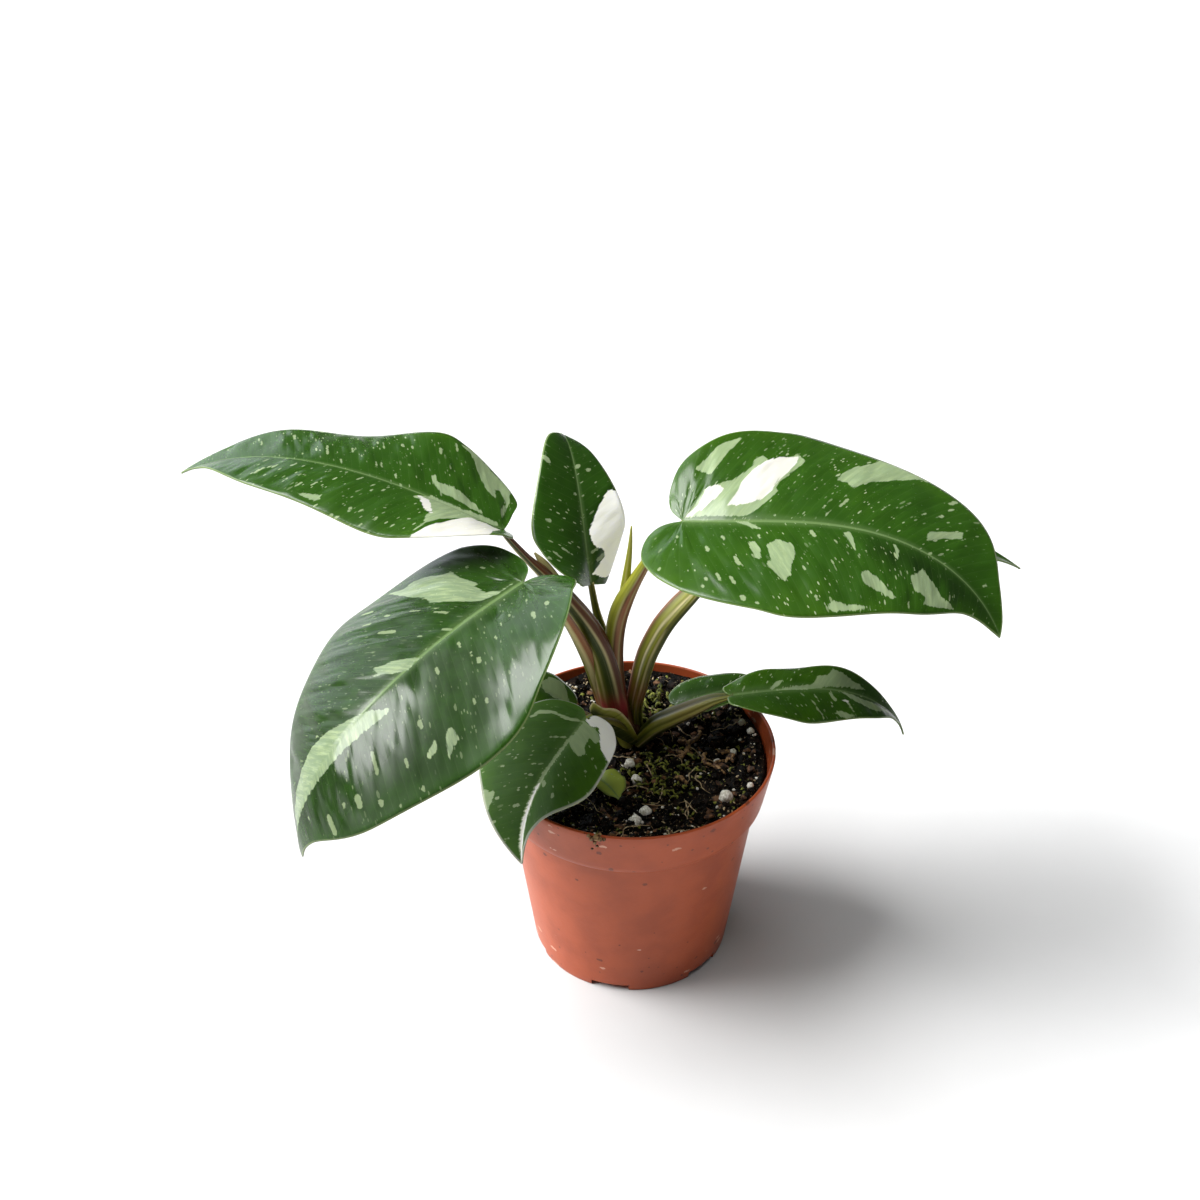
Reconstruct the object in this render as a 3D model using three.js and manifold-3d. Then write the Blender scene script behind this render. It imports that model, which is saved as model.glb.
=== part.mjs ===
// Potted white princess philodendron: nine pointed leaves on sheathed stalks that rise from
// one short stem, in a plain brown nursery pot of dark soil.
// Millimetres, +Z up. The origin is the middle of the pot's underside, and -Y is the front.

import * as THREE from 'three';
import { mergeVertices } from 'three/addons/utils/BufferGeometryUtils.js';
import Module from 'manifold-3d';

const wasm = await Module();
wasm.setup();

// Clearance between pieces that touch on the real plant, and the least size a cut leaves behind
const GAP = 0.3;
const LEAST_DETAIL = 0.03;

// Pot
const POT_HEIGHT = 93;
const RIM_RADIUS = 55;
const BAND_HEIGHT = 20;
const BAND_FOOT_RADIUS = 51.3;
const BODY_TOP_RADIUS = 48.7;
const FOOT_RADIUS = 38.6;
const WALL = 1.3;
const FOOT_WIDTH = 4.5;
const FLOOR_RISE = 2.5;
const FLOOR_THICKNESS = 1.5;
const CENTRE_PAD_RADIUS = 11;
const DRAIN_COUNT = 6;
const DRAIN_HOLE_RADIUS = 3;
const DRAIN_RING_RADIUS = 24;
const NOTCH_WIDTH = 15;
const NOTCH_HEIGHT = 3;
const FIRST_NOTCH_ANGLE = -103;
const POT_SEGMENTS = 56;

// Soil
const SOIL_LEVEL = 82;
const MOUND_HEIGHT = 2.2;
const MOUND_RADIUS = 20;
const LUMP_HEIGHT = 0.7;
const SOIL_RINGS = 10;
const CRUMB_COUNT = 24;
const CRUMB_SEED = 7;

// Perlite grains that show at the surface: x, y, diameter
const PERLITE = [
  [35, -23, 4.6], [39, 5, 2.6], [43, 19, 2.4], [47.5, 14.5, 2.4], [33, 2, 2.4],
  [44.5, -17, 2.6], [-1, -2, 3.6], [1.5, -9, 3.4], [4.5, -29, 4.2], [0.5, -35, 4.0],
];

// Stem
const STEM_X = -1.5;
const STEM_Y = 14;
const STEM_RADIUS = 5.6;
const STEM_FOOT = 66;
const STEM_TOP = 93;

// Blades
const BLADE_THICKNESS = 0.7;
const RIB_DEPTH = 0.9;
const VEIN_SLANT = 0.55;
const LARGE_LEAF = 90;
const LOBE_ROWS = 5;

// Each blade's attachment, its heading in degrees from +X, and its lengths in mm. Lists of three
// are angles in degrees at the base, the middle and the tip. Lists of two are left and right,
// looking from the attachment to the tip. A wave is height, waves along the blade and start.
const LEAVES = {
  upper_left: {
    attach: [-47.5, 6.5, 186], heading: 170, length: 135, halfWidth: [27, 34], lobe: [4, 5],
    turn: [0, -10, -8], pitch: [24, 2, -32], roll: [-8, -1, -4],
    widest: 0.33, shoulder: 0.69, tail: 0.05, lobeDrop: 10,
    lift: [[24, 2, 18], [20, 8, 15]], arch: [[14, 33, 14], [15, 18, 34]],
    wave: [[1.5, 1.8, 0.27], [4.2, 1.76, 0.79]],
  },
  front_left: {
    attach: [-39.3, -26, 185], heading: 221, length: 137, halfWidth: [46.5, 54], lobe: [9, 9],
    turn: [0, -2, -43], pitch: [-8, -29, -101], roll: [-8, -2, 16],
    widest: 0.39, shoulder: 0.73, tail: 0.04, lobeDrop: 14,
    lift: [[15, -3, -10], [12, 0, -4]], arch: [[0, 32, 29], [28, 30, 8]],
    wave: [[2.9, 1.55, 0.05], [1, 2, 0.5]],
  },
  centre: {
    attach: [-15.9, 14.7, 157.7], heading: 106, length: 63, halfWidth: [21, 17], lobe: [3, 3],
    turn: [0, -3, 0], pitch: [54, 52, -9], roll: [-33, -9, -27],
    widest: 0.34, shoulder: 0.73, tail: 0.1, lobeDrop: 10,
    lift: [[28, 14, 13], [4, 9, 1]], arch: [[14, 24, 12], [34, 23, 22]],
    wave: [[0.9, 1.6, 0.2], [1.5, 1.44, 0.63]],
  },
  upper_right: {
    attach: [17.2, 3.4, 191.9], heading: -24, length: 129, halfWidth: [46.5, 42], lobe: [8, 11],
    turn: [0, 15, -24], pitch: [12, -9, -58], roll: [-21, -13, -15],
    widest: 0.38, shoulder: 0.73, tail: 0.05, lobeDrop: 10,
    lift: [[18, 9, 10], [15, 8, 11]], arch: [[22, 29, 21], [19, 27, 21]],
    wave: [[0.6, 1.7, 0.06], [1.6, 1.53, 0.92]],
  },
  back_right: {
    attach: [43, 36, 158], heading: 4, length: 112, halfWidth: [22, 22], lobe: [8, 8],
    turn: [0, 0, 4], pitch: [8, -4, -36], roll: [-4, -4, 0],
    widest: 0.34, shoulder: 0.69, tail: 0.08, lobeDrop: 10,
    lift: [[14, 10, 10], [14, 10, 10]], arch: [[25, 25, 15], [25, 25, 15]],
    wave: [[1, 1.6, 0.1], [1, 1.6, 0.6]],
  },
  low_right: {
    attach: [37.9, 1.6, 115.4], heading: 9, length: 79, halfWidth: [12, 16], lobe: [3, 3],
    turn: [0, -3, 0], pitch: [1, -13, -75], roll: [4, -10, -5],
    widest: 0.38, shoulder: 0.68, tail: 0.1, lobeDrop: 10,
    lift: [[10, 18, 15], [13, 8, 12]], arch: [[29, 19, 16], [20, 30, 15]],
    wave: [[1.7, 2.28, -0.02], [1.1, 1.52, 0.1]],
  },
  over_the_rim: {
    attach: [-17.7, -13.4, 116], heading: 247, length: 65, halfWidth: [20, 33.5], lobe: [4, 5.5],
    turn: [0, -15, 21], pitch: [-2, -41, -88], roll: [11, -13, -36],
    widest: 0.52, shoulder: 0.68, tail: 0.05, lobeDrop: 10,
    lift: [[-6, 20, 42], [0, 17, 29]], arch: [[34, 35, 0], [32, 30, 6]],
    wave: [[2.7, 1.47, 0.12], [1.3, 1.85, 0.7]],
  },
  small_left: {
    attach: [-25, 4, 109], heading: 158, length: 34, halfWidth: [9, 10], lobe: [3, 3],
    turn: [0, 5, 10], pitch: [35, 10, -20], roll: [0, 0, 0],
    widest: 0.34, shoulder: 0.69, tail: 0.1, lobeDrop: 10,
    lift: [[14, 12, 10], [14, 12, 10]], arch: [[25, 25, 15], [25, 25, 15]],
    wave: [[0.4, 1.6, 0.1], [0.4, 1.6, 0.6]],
  },
  small_right: {
    attach: [17, 18, 98], heading: 6, length: 42, halfWidth: [12, 9], lobe: [2, 2],
    turn: [0, 0, 0], pitch: [20, 8, -22], roll: [-4, -4, -4],
    widest: 0.36, shoulder: 0.69, tail: 0.1, lobeDrop: 10,
    lift: [[14, 12, 10], [14, 12, 10]], arch: [[25, 25, 15], [25, 25, 15]],
    wave: [[0.5, 1.6, 0.1], [0.5, 1.6, 0.6]],
  },
  young: {
    attach: [-14, -10, 84.5], heading: -58, length: 17, halfWidth: [9, 5], lobe: [1, 1],
    turn: [0, 4, 6], pitch: [24, -4, -30], roll: [0, 4, 0],
    widest: 0.34, shoulder: 0.7, tail: 0.1, lobeDrop: 10,
    lift: [[16, 12, 10], [16, 12, 10]], arch: [[20, 20, 15], [20, 20, 15]],
    wave: [[0.8, 1.9, 0.2], [0.5, 1.6, 0.6]],
  },
};

// Stalks: points from the stem to the blade, then half widths and half thicknesses at the points.
// The heading is the way the stalk leans, and its groove faces the stem's axis.
const STALKS = {
  upper_right: {
    route: [[0, 13, 90], [-4.5, 14, 102], [-6.5, 14, 116], [-7, 14, 129], [-6, 13.5, 141],
      [-3.5, 12.5, 151.5], [1, 10.5, 163.5], [8, 7.5, 178], [17.2, 3.6, 191.6]],
    halfWidth: [3.2, 3.6, 3.6, 3.6, 3.6, 3.7, 3.6, 1.9, 1.5],
    halfThickness: [2.6, 2.8, 2.8, 2.8, 2.7, 2.7, 2.4, 1.8, 1.4],
    heading: -20,
  },
  back_right: {
    route: [[2, 16, 90], [1, 15.5, 100], [2.5, 16, 110], [5, 17.5, 121], [8.5, 19.5, 129],
      [13, 22, 136], [21, 26, 144], [31.5, 31, 152], [43, 36, 157.8]],
    halfWidth: [3.4, 3.8, 4.5, 5, 5.1, 5, 4.6, 2.2, 1.6],
    halfThickness: [2.6, 2.8, 3, 3, 3, 2.9, 2.6, 1.9, 1.5],
    heading: 30,
  },
  upper_left: {
    route: [[-5, 12, 90], [-6.5, 11, 103], [-7.5, 10, 112], [-9, 9.5, 123], [-12, 9, 134.5],
      [-17, 8.5, 145], [-23, 8, 154.5], [-31, 7.5, 165], [-37.5, 7, 172], [-42.5, 6.5, 178.5],
      [-47.4, 6.5, 185.8]],
    halfWidth: [4.2, 4.6, 5.2, 5.7, 5.6, 4.9, 4.2, 3.6, 2, 1.5, 1.4],
    halfThickness: [3, 3.4, 3.6, 3.7, 3.6, 3.3, 2.9, 2.4, 1.7, 1.5, 1.4],
    heading: 190,
  },
  front_left: {
    route: [[-6.5, 9, 90], [-11.5, 7, 105], [-16, 2, 125], [-20, -3, 142], [-24, -8.5, 156.5],
      [-28.5, -15, 169], [-33.5, -21.5, 178.5], [-39.2, -26, 184.8]],
    halfWidth: [2.6, 2.9, 2.9, 2.8, 2.5, 2.2, 1.9, 1.7],
    halfThickness: [2.2, 2.4, 2.4, 2.3, 2.1, 2, 1.8, 1.6],
    heading: 215,
  },
  centre: {
    route: [[-3, 18, 90], [-7, 18.5, 102], [-9, 19, 117], [-11.5, 19.5, 131.5], [-14, 18.5, 143],
      [-15.9, 14.9, 157.4]],
    halfWidth: [2, 2.1, 2.1, 2, 1.5, 1.2],
    halfThickness: [1.8, 1.8, 1.7, 1.6, 1.3, 1.1],
    heading: 100,
  },
  low_right: {
    route: [[2.5, 10, 90], [9, 8, 97], [16, 6.5, 102], [24, 4.7, 107.5], [31, 3.2, 112], [37.8, 1.7, 115.2]],
    halfWidth: [3.6, 4.4, 4.3, 4, 3, 1.3],
    halfThickness: [1.9, 1.9, 1.8, 1.6, 1.4, 1.2],
    heading: -12,
  },
  over_the_rim: {
    route: [[-3, 8, 90], [-5, 4, 98], [-8.5, -1, 105.5], [-13, -8, 112], [-17.6, -13.2, 115.8]],
    halfWidth: [3.8, 4.2, 3.8, 3, 1.3],
    halfThickness: [1.8, 1.9, 1.7, 1.5, 1.2],
    heading: 235,
  },
  small_left: {
    route: [[-7, 11, 90], [-13, 8.5, 96.5], [-19, 6.5, 102], [-25.9, 4.6, 106.9]],
    halfWidth: [1.9, 1.8, 1.5, 1.1],
    halfThickness: [1.5, 1.4, 1.2, 1],
    heading: 200,
  },
  small_right: {
    route: [[4.6, 14.5, 86.5], [9, 16, 90.8], [13, 17, 93.6], [17.9, 18.1, 95.5]],
    halfWidth: [1.9, 1.8, 1.5, 1.1],
    halfThickness: [1.5, 1.4, 1.2, 1],
    heading: 15,
  },
};
const STALK_STEPS = 12;
const STALK_SIDES = 10;
const GROOVE_SHARE = 0.45;

// Sheath tips stand free of their stalks: points from inside the stalk to the tip, and the radius
// at the foot
const SHEATH_TIPS = {
  upper_right: {
    route: [[-3.5, 12.5, 153], [-2.5, 13.5, 163], [-1.5, 14, 173.5], [-1, 15, 182.5]],
    radius: 1.9,
  },
  upper_left: {
    route: [[-29, 8.5, 163], [-33, 10, 169], [-36.5, 11, 173.5]],
    radius: 2.1,
  },
};

const COLOURS = {
  pot: 0xb5654a,
  soil: 0x2b211b,
  stem: 0x6f6a3c,
  stalk: 0x7c8040,
  blade: 0x2f6b2c,
  youngBlade: 0xa9b46a,
};

const degrees = THREE.MathUtils.degToRad;

function materialOf(colour, roughness) {
  return new THREE.MeshStandardMaterial({ color: colour, roughness, metalness: 0 });
}

// Solids and back again
function solidOf(geometry) {
  const shape = geometry.index ? geometry.toNonIndexed() : geometry.clone();
  shape.deleteAttribute('normal');
  shape.deleteAttribute('uv');
  const merged = mergeVertices(shape, 1e-4);
  const corners = merged.index.array;
  const kept = [];
  for (let i = 0; i < corners.length; i += 3) {
    const [a, b, c] = [corners[i], corners[i + 1], corners[i + 2]];
    if (a !== b && b !== c && c !== a) kept.push(a, b, c);
  }
  return new wasm.Manifold(new wasm.Mesh({
    numProp: 3,
    vertProperties: new Float32Array(merged.attributes.position.array),
    triVerts: new Uint32Array(kept),
  }));
}

function geometryOf(solid) {
  const mesh = solid.getMesh();
  const geometry = new THREE.BufferGeometry();
  const places = new Float32Array(mesh.vertProperties);
  geometry.setAttribute('position', new THREE.BufferAttribute(places, 3));
  geometry.setIndex(new THREE.BufferAttribute(new Uint32Array(mesh.triVerts), 1));
  return geometry;
}

function largestOf(solid) {
  return solid.decompose().reduce((best, next) => (next.volume() > best.volume() ? next : best));
}

function geometryFrom(points, triangles) {
  const geometry = new THREE.BufferGeometry();
  const places = points.flatMap((point) => point.toArray());
  geometry.setAttribute('position', new THREE.Float32BufferAttribute(places, 3));
  geometry.setIndex(triangles.flat());
  return geometry;
}

function turned(profile) {
  const points = profile.map(([radius, height]) => new THREE.Vector2(radius, height));
  return new THREE.LatheGeometry(points, POT_SEGMENTS).rotateX(Math.PI / 2);
}

// Pot: a thin-walled cup with a deeper band at the rim, on a notched foot ring
const BODY_HEIGHT = POT_HEIGHT - BAND_HEIGHT;
const FLOOR_TOP = FLOOR_RISE + FLOOR_THICKNESS;

// The wall's inner radius at a height: it follows the body, then steps out behind the band
function innerRadius(height) {
  if (height <= BODY_HEIGHT) {
    return FOOT_RADIUS + (BODY_TOP_RADIUS - FOOT_RADIUS) * (height / BODY_HEIGHT) - WALL;
  }
  return BAND_FOOT_RADIUS + (RIM_RADIUS - BAND_FOOT_RADIUS) * ((height - BODY_HEIGHT) / BAND_HEIGHT) - WALL;
}

function potSolid() {
  const footInner = FOOT_RADIUS - FOOT_WIDTH;
  const stepTop = BODY_HEIGHT + WALL;
  const cup = solidOf(turned([
    [0, 0],
    [CENTRE_PAD_RADIUS, 0],
    [CENTRE_PAD_RADIUS + 1, FLOOR_RISE],
    [footInner - 0.5, FLOOR_RISE],
    [footInner, 0],
    [FOOT_RADIUS, 0],
    [BODY_TOP_RADIUS, BODY_HEIGHT],
    [BAND_FOOT_RADIUS, BODY_HEIGHT],
    [RIM_RADIUS - 0.1, POT_HEIGHT - 0.8],
    [RIM_RADIUS - 0.4, POT_HEIGHT],
    [RIM_RADIUS - WALL, POT_HEIGHT - 0.1],
    [innerRadius(stepTop), stepTop],
    [innerRadius(BODY_HEIGHT), BODY_HEIGHT - WALL],
    [innerRadius(FLOOR_TOP), FLOOR_TOP],
    [0, FLOOR_TOP],
  ]));
  return Array.from({ length: DRAIN_COUNT }).reduce((pot, _, index) => {
    const angle = degrees(FIRST_NOTCH_ANGLE + index * (360 / DRAIN_COUNT));
    const notch = new THREE.BoxGeometry(FOOT_WIDTH * 4, NOTCH_WIDTH, NOTCH_HEIGHT * 2);
    notch.translate(FOOT_RADIUS, 0, 0).rotateZ(angle);
    const hole = new THREE.CylinderGeometry(DRAIN_HOLE_RADIUS, DRAIN_HOLE_RADIUS, FLOOR_TOP * 4, 12);
    hole.rotateX(Math.PI / 2).translate(DRAIN_RING_RADIUS, 0, 0).rotateZ(angle + Math.PI / DRAIN_COUNT);
    return pot.subtract(solidOf(notch)).subtract(solidOf(hole));
  }, cup);
}

// Soil: its top is raised by a formula, and grains and crumbs are sunk into it
function soilHeight(x, y) {
  const fromStem = Math.hypot(x - STEM_X, y - STEM_Y);
  const mound = MOUND_HEIGHT * Math.exp(-((fromStem / MOUND_RADIUS) ** 2));
  const lumps = Math.sin(x * 0.31 + 1) * Math.cos(y * 0.27) + 0.6 * Math.sin(x * 0.17 - y * 0.39);
  return SOIL_LEVEL + mound + LUMP_HEIGHT * lumps;
}

// Repeatable draws from 0 to 1
function seededDraws(seed) {
  let state = seed;
  return () => {
    state = (state * 16807) % 2147483647;
    return state / 2147483647;
  };
}

function soilSolid() {
  const topRadius = innerRadius(SOIL_LEVEL) - GAP;
  const footZ = FLOOR_TOP + GAP;
  const footRadius = innerRadius(footZ) - GAP;
  const waistZ = BODY_HEIGHT - WALL;
  const waistRadius = innerRadius(BODY_HEIGHT) - GAP - 0.1;
  const profile = [[0, footZ], [footRadius, footZ], [waistRadius, waistZ]];
  profile.push([topRadius - 1.5, BODY_HEIGHT + WALL + GAP + 1.2]);
  for (let ring = SOIL_RINGS; ring >= 0; ring -= 1) {
    profile.push([topRadius * (ring / SOIL_RINGS) ** 0.8, SOIL_LEVEL]);
  }
  const shape = turned(profile);
  const place = shape.attributes.position;
  for (let i = 0; i < place.count; i += 1) {
    if (place.getZ(i) > SOIL_LEVEL - 0.01) place.setZ(i, soilHeight(place.getX(i), place.getY(i)));
  }
  let soil = solidOf(shape);
  const draw = seededDraws(CRUMB_SEED);
  const goldenAngle = Math.PI * (3 - Math.sqrt(5));
  const grains = [...PERLITE];
  for (let i = 0; i < CRUMB_COUNT; i += 1) {
    const reach = (topRadius - 5) * Math.sqrt((i + 0.5) / CRUMB_COUNT);
    const angle = i * goldenAngle + draw();
    grains.push([reach * Math.cos(angle), reach * Math.sin(angle), 2.4 + 2.2 * draw()]);
  }
  grains.forEach(([x, y, size]) => {
    if (Math.hypot(x - STEM_X, y - STEM_Y) < STEM_RADIUS + size) return;
    const grain = new THREE.IcosahedronGeometry(size / 2, 0).rotateX(3 * draw()).rotateZ(3 * draw());
    soil = soil.add(solidOf(grain.translate(x, y, soilHeight(x, y) + size * 0.12)));
  });
  const depth = STEM_TOP - STEM_FOOT;
  const hole = new THREE.CylinderGeometry(STEM_RADIUS + GAP, STEM_RADIUS + GAP, depth, 20);
  hole.rotateX(Math.PI / 2).translate(STEM_X, STEM_Y, STEM_FOOT - GAP + depth / 2);
  return soil.subtract(solidOf(hole));
}

// A value that runs smoothly through its base, middle and tip values
function through([base, middle, tip], share) {
  return base + (4 * middle - 3 * base - tip) * share + (2 * base + 2 * tip - 4 * middle) * share * share;
}

// A blade's midrib is walked in short steps, so any share of its length gives a place and three
// directions
const MIDRIB_STEPS = 80;

function midribOf(leaf) {
  const point = new THREE.Vector3(...leaf.attach);
  const places = [point.clone()];
  for (let i = 0; i < MIDRIB_STEPS; i += 1) {
    const share = (i + 0.5) / MIDRIB_STEPS;
    point.addScaledVector(directionsAt(leaf, share).along, leaf.length / MIDRIB_STEPS);
    places.push(point.clone());
  }
  return places;
}

function directionsAt(leaf, share) {
  const heading = degrees(leaf.heading + through(leaf.turn, share));
  const pitch = degrees(through(leaf.pitch, share));
  const roll = degrees(through(leaf.roll, share));
  const along = new THREE.Vector3(
    Math.cos(pitch) * Math.cos(heading),
    Math.cos(pitch) * Math.sin(heading),
    Math.sin(pitch),
  );
  const right = new THREE.Vector3(Math.sin(heading), -Math.cos(heading), 0).applyAxisAngle(along, -roll);
  return { along, right, up: right.clone().cross(along) };
}

// From a flat place on the blade, mm along and across, to its place in space
function bladePoint(leaf, midrib, side, along, across) {
  const share = THREE.MathUtils.clamp(along / leaf.length, 0, 1);
  const frame = directionsAt(leaf, share);
  const step = share * MIDRIB_STEPS;
  const before = Math.min(Math.floor(step), MIDRIB_STEPS - 1);
  const point = midrib[before].clone().lerp(midrib[before + 1], step - before);
  const behind = Math.min(along, 0);
  const drop = behind ** 2 * leaf.lobeDrop * 0.001;
  point.addScaledVector(frame.along, behind).addScaledVector(frame.up, -drop);
  const halfWidth = leaf.halfWidth[side];
  const lift = degrees(through(leaf.lift[side], share));
  const bend = Math.max(degrees(through(leaf.arch[side], share)), 1e-3) / halfWidth;
  const outward = (Math.sin(lift) - Math.sin(lift - bend * across)) / bend;
  const [height, count, start] = leaf.wave[side];
  const turns = count * (along / leaf.length) + start;
  const wave = height * (across / halfWidth) ** 2 * Math.sin(2 * Math.PI * turns);
  const upward = (Math.cos(lift - bend * across) - Math.cos(lift)) / bend + wave;
  point.addScaledVector(frame.right, side === 0 ? -outward : outward);
  return point.addScaledVector(frame.up, upward);
}

// The margin of one half, from the notch at the stalk round the lobe to the tip
function marginOf(leaf, side) {
  const { length, tail } = leaf;
  const width = leaf.halfWidth[side];
  const lobe = leaf.lobe[side];
  const widest = leaf.widest * length;
  return new THREE.SplineCurve([
    [0, 0], [-0.75 * lobe, 0.1 * width], [-lobe, 0.3 * width], [-0.62 * lobe, 0.56 * width],
    [0.2 * widest - 0.05 * lobe, 0.83 * width], [0.6 * widest, 0.975 * width], [widest, width],
    [leaf.shoulder * length, 0.66 * width], [length * (1 - tail) * 0.93, 0.23 * width],
    [length * (1 - tail * 0.55), 0.055 * width], [length, 0],
  ].map(([x, y]) => new THREE.Vector2(x, y))).getSpacedPoints(300);
}

// How finely a blade is divided along its midrib and from the midrib to the margin
function divisionsOf(leaf) {
  if (leaf.length > LARGE_LEAF) return { rowCount: 15, columnCount: 4 };
  return { rowCount: 10, columnCount: 3 };
}

// Rows of a half: each runs out along a side vein from the midrib to the margin. The lobe's rows
// all start at the stalk, and the others start evenly along the midrib.
function veinRows(leaf, side) {
  const margin = marginOf(leaf, side);
  const foot = (point) => point.x - VEIN_SLANT * point.y;
  let lobeEnd = margin.length - 1;
  while (foot(margin[lobeEnd]) > 0) lobeEnd -= 1;
  const { rowCount } = divisionsOf(leaf);
  const rows = [];
  for (let i = 1; i <= LOBE_ROWS; i += 1) {
    rows.push({ start: 0, end: margin[Math.round((lobeEnd * i) / LOBE_ROWS)] });
  }
  let at = lobeEnd;
  for (let i = 1; i < rowCount; i += 1) {
    const start = (leaf.length * i) / rowCount;
    while (foot(margin[at]) < start) at += 1;
    rows.push({ start, end: margin[at] });
  }
  return rows;
}

function bladeSolid(leaf, grow) {
  const { rowCount, columnCount } = divisionsOf(leaf);
  const midrib = midribOf(leaf);
  const points = [];
  const triangles = [];
  const tell = (point) => points.push(point) - 1;
  const half = BLADE_THICKNESS / 2 + grow;
  const onMidrib = (start) => {
    const { up } = directionsAt(leaf, start / leaf.length);
    const place = bladePoint(leaf, midrib, 0, start, 0);
    const rib = RIB_DEPTH * (1 - start / leaf.length) + half;
    return {
      top: tell(place.clone().addScaledVector(up, half)),
      bottom: tell(place.addScaledVector(up, -rib)),
    };
  };
  const feet = [0];
  for (let i = 1; i < rowCount; i += 1) feet.push((leaf.length * i) / rowCount);
  const spine = new Map(feet.map((start) => [start, onMidrib(start)]));
  const tipPlace = bladePoint(leaf, midrib, 0, leaf.length, 0);
  const tipUp = directionsAt(leaf, 1).up;
  const tip = {
    top: tell(tipPlace.clone().addScaledVector(tipUp, half)),
    bottom: tell(tipPlace.addScaledVector(tipUp, -half)),
  };
  [0, 1].forEach((side) => {
    const at = (along, across) => bladePoint(leaf, midrib, side, along, across);
    const nearby = 0.05;
    const rows = veinRows(leaf, side).map(({ start, end }) => {
      const row = [spine.get(start)];
      for (let column = 1; column <= columnCount; column += 1) {
        const share = column / columnCount;
        const along = start + (end.x - start) * share;
        const across = end.y * share;
        const place = at(along, across);
        const forward = at(along + nearby, across).sub(place);
        const outward = at(along, across + nearby).sub(place);
        const up = side === 0 ? forward.cross(outward) : outward.cross(forward);
        up.normalize();
        if (column === columnCount && grow > 0) {
          const inside = at(start + (along - start) * 0.98, across * 0.98);
          place.addScaledVector(place.clone().sub(inside).normalize(), grow);
        }
        row.push({
          top: tell(place.clone().addScaledVector(up, half)),
          bottom: tell(place.addScaledVector(up, -half)),
        });
      }
      return row;
    });
    rows.push(Array(columnCount + 1).fill(tip));
    rows.unshift(Array(columnCount + 1).fill(spine.get(0)));
    const face = (a, b, c) => {
      if (a === b || b === c || c === a) return;
      const flip = side === 1;
      triangles.push(flip ? [a.top, c.top, b.top] : [a.top, b.top, c.top]);
      triangles.push(flip ? [a.bottom, b.bottom, c.bottom] : [a.bottom, c.bottom, b.bottom]);
    };
    for (let i = 0; i + 1 < rows.length; i += 1) {
      for (let j = 0; j < columnCount; j += 1) {
        face(rows[i][j], rows[i + 1][j], rows[i + 1][j + 1]);
        face(rows[i][j], rows[i + 1][j + 1], rows[i][j + 1]);
      }
      const [near, far] = [rows[i][columnCount], rows[i + 1][columnCount]];
      if (near === far) continue;
      const [a, b] = side === 0 ? [near, far] : [far, near];
      triangles.push([a.top, b.top, b.bottom], [a.top, b.bottom, a.bottom]);
    }
  });
  return solidOf(geometryFrom(points, triangles));
}

// A number read from a list spread evenly over the route
function listAt(list, share) {
  const step = share * (list.length - 1);
  const before = Math.min(Math.floor(step), list.length - 2);
  return THREE.MathUtils.lerp(list[before], list[before + 1], step - before);
}

// A closed tube: rings of points round a route, and a fan at each end
function sweptSolid(route, steps, sides, ringPoint) {
  const knots = route.map((point) => new THREE.Vector3(...point));
  const curve = new THREE.CatmullRomCurve3(knots, false, 'centripetal');
  const points = [];
  const triangles = [];
  for (let i = 0; i <= steps; i += 1) {
    const share = i / steps;
    for (let j = 0; j < sides; j += 1) {
      const angle = (2 * Math.PI * j) / sides;
      points.push(ringPoint(curve.getPoint(share), curve.getTangent(share), share, angle));
    }
  }
  const foot = points.push(curve.getPoint(0)) - 1;
  const tip = points.push(curve.getPoint(1)) - 1;
  for (let j = 0; j < sides; j += 1) {
    const next = (j + 1) % sides;
    for (let i = 0; i < steps; i += 1) {
      const a = i * sides + j;
      const b = i * sides + next;
      triangles.push([a, b, b + sides], [a, b + sides, a + sides]);
    }
    triangles.push([foot, next, j], [tip, steps * sides + j, steps * sides + next]);
  }
  return solidOf(geometryFrom(points, triangles));
}

function stalkSolid(stalk, grow) {
  const lean = degrees(stalk.heading);
  return sweptSolid(stalk.route, STALK_STEPS, STALK_SIDES, (centre, along, share, angle) => {
    const side = new THREE.Vector3(-Math.sin(lean), Math.cos(lean), 0);
    side.addScaledVector(along, -side.dot(along)).normalize();
    const inner = along.clone().cross(side);
    const across = Math.cos(angle);
    const deep = Math.sin(angle);
    const groove = deep > 0 ? 1 - GROOVE_SHARE * Math.exp(-((across / 0.5) ** 2)) : 1;
    return centre
      .addScaledVector(side, (listAt(stalk.halfWidth, share) + grow) * across)
      .addScaledVector(inner, (listAt(stalk.halfThickness, share) * groove + grow) * deep);
  });
}

// The stalk ends in a flat cut just under its blade's midrib
function stalkUnderBlade(name, grow) {
  const leaf = LEAVES[name];
  const { up } = directionsAt(leaf, 0);
  const underside = BLADE_THICKNESS / 2 + RIB_DEPTH + 1.5 * GAP;
  const reach = up.dot(new THREE.Vector3(...leaf.attach)) - underside + grow;
  return stalkSolid(STALKS[name], grow).trimByPlane(up.negate().toArray(), -reach);
}

function sheathTipSolid({ route, radius }, grow) {
  return sweptSolid(route, 5, 8, (centre, along, share, angle) => {
    const side = new THREE.Vector3(1, 0, 0).addScaledVector(along, -along.x).normalize();
    const reach = radius * (1 - share) ** 0.7 + 0.3 + grow;
    return centre
      .addScaledVector(side, reach * Math.cos(angle))
      .addScaledVector(along.clone().cross(side), 0.6 * reach * Math.sin(angle));
  });
}

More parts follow.
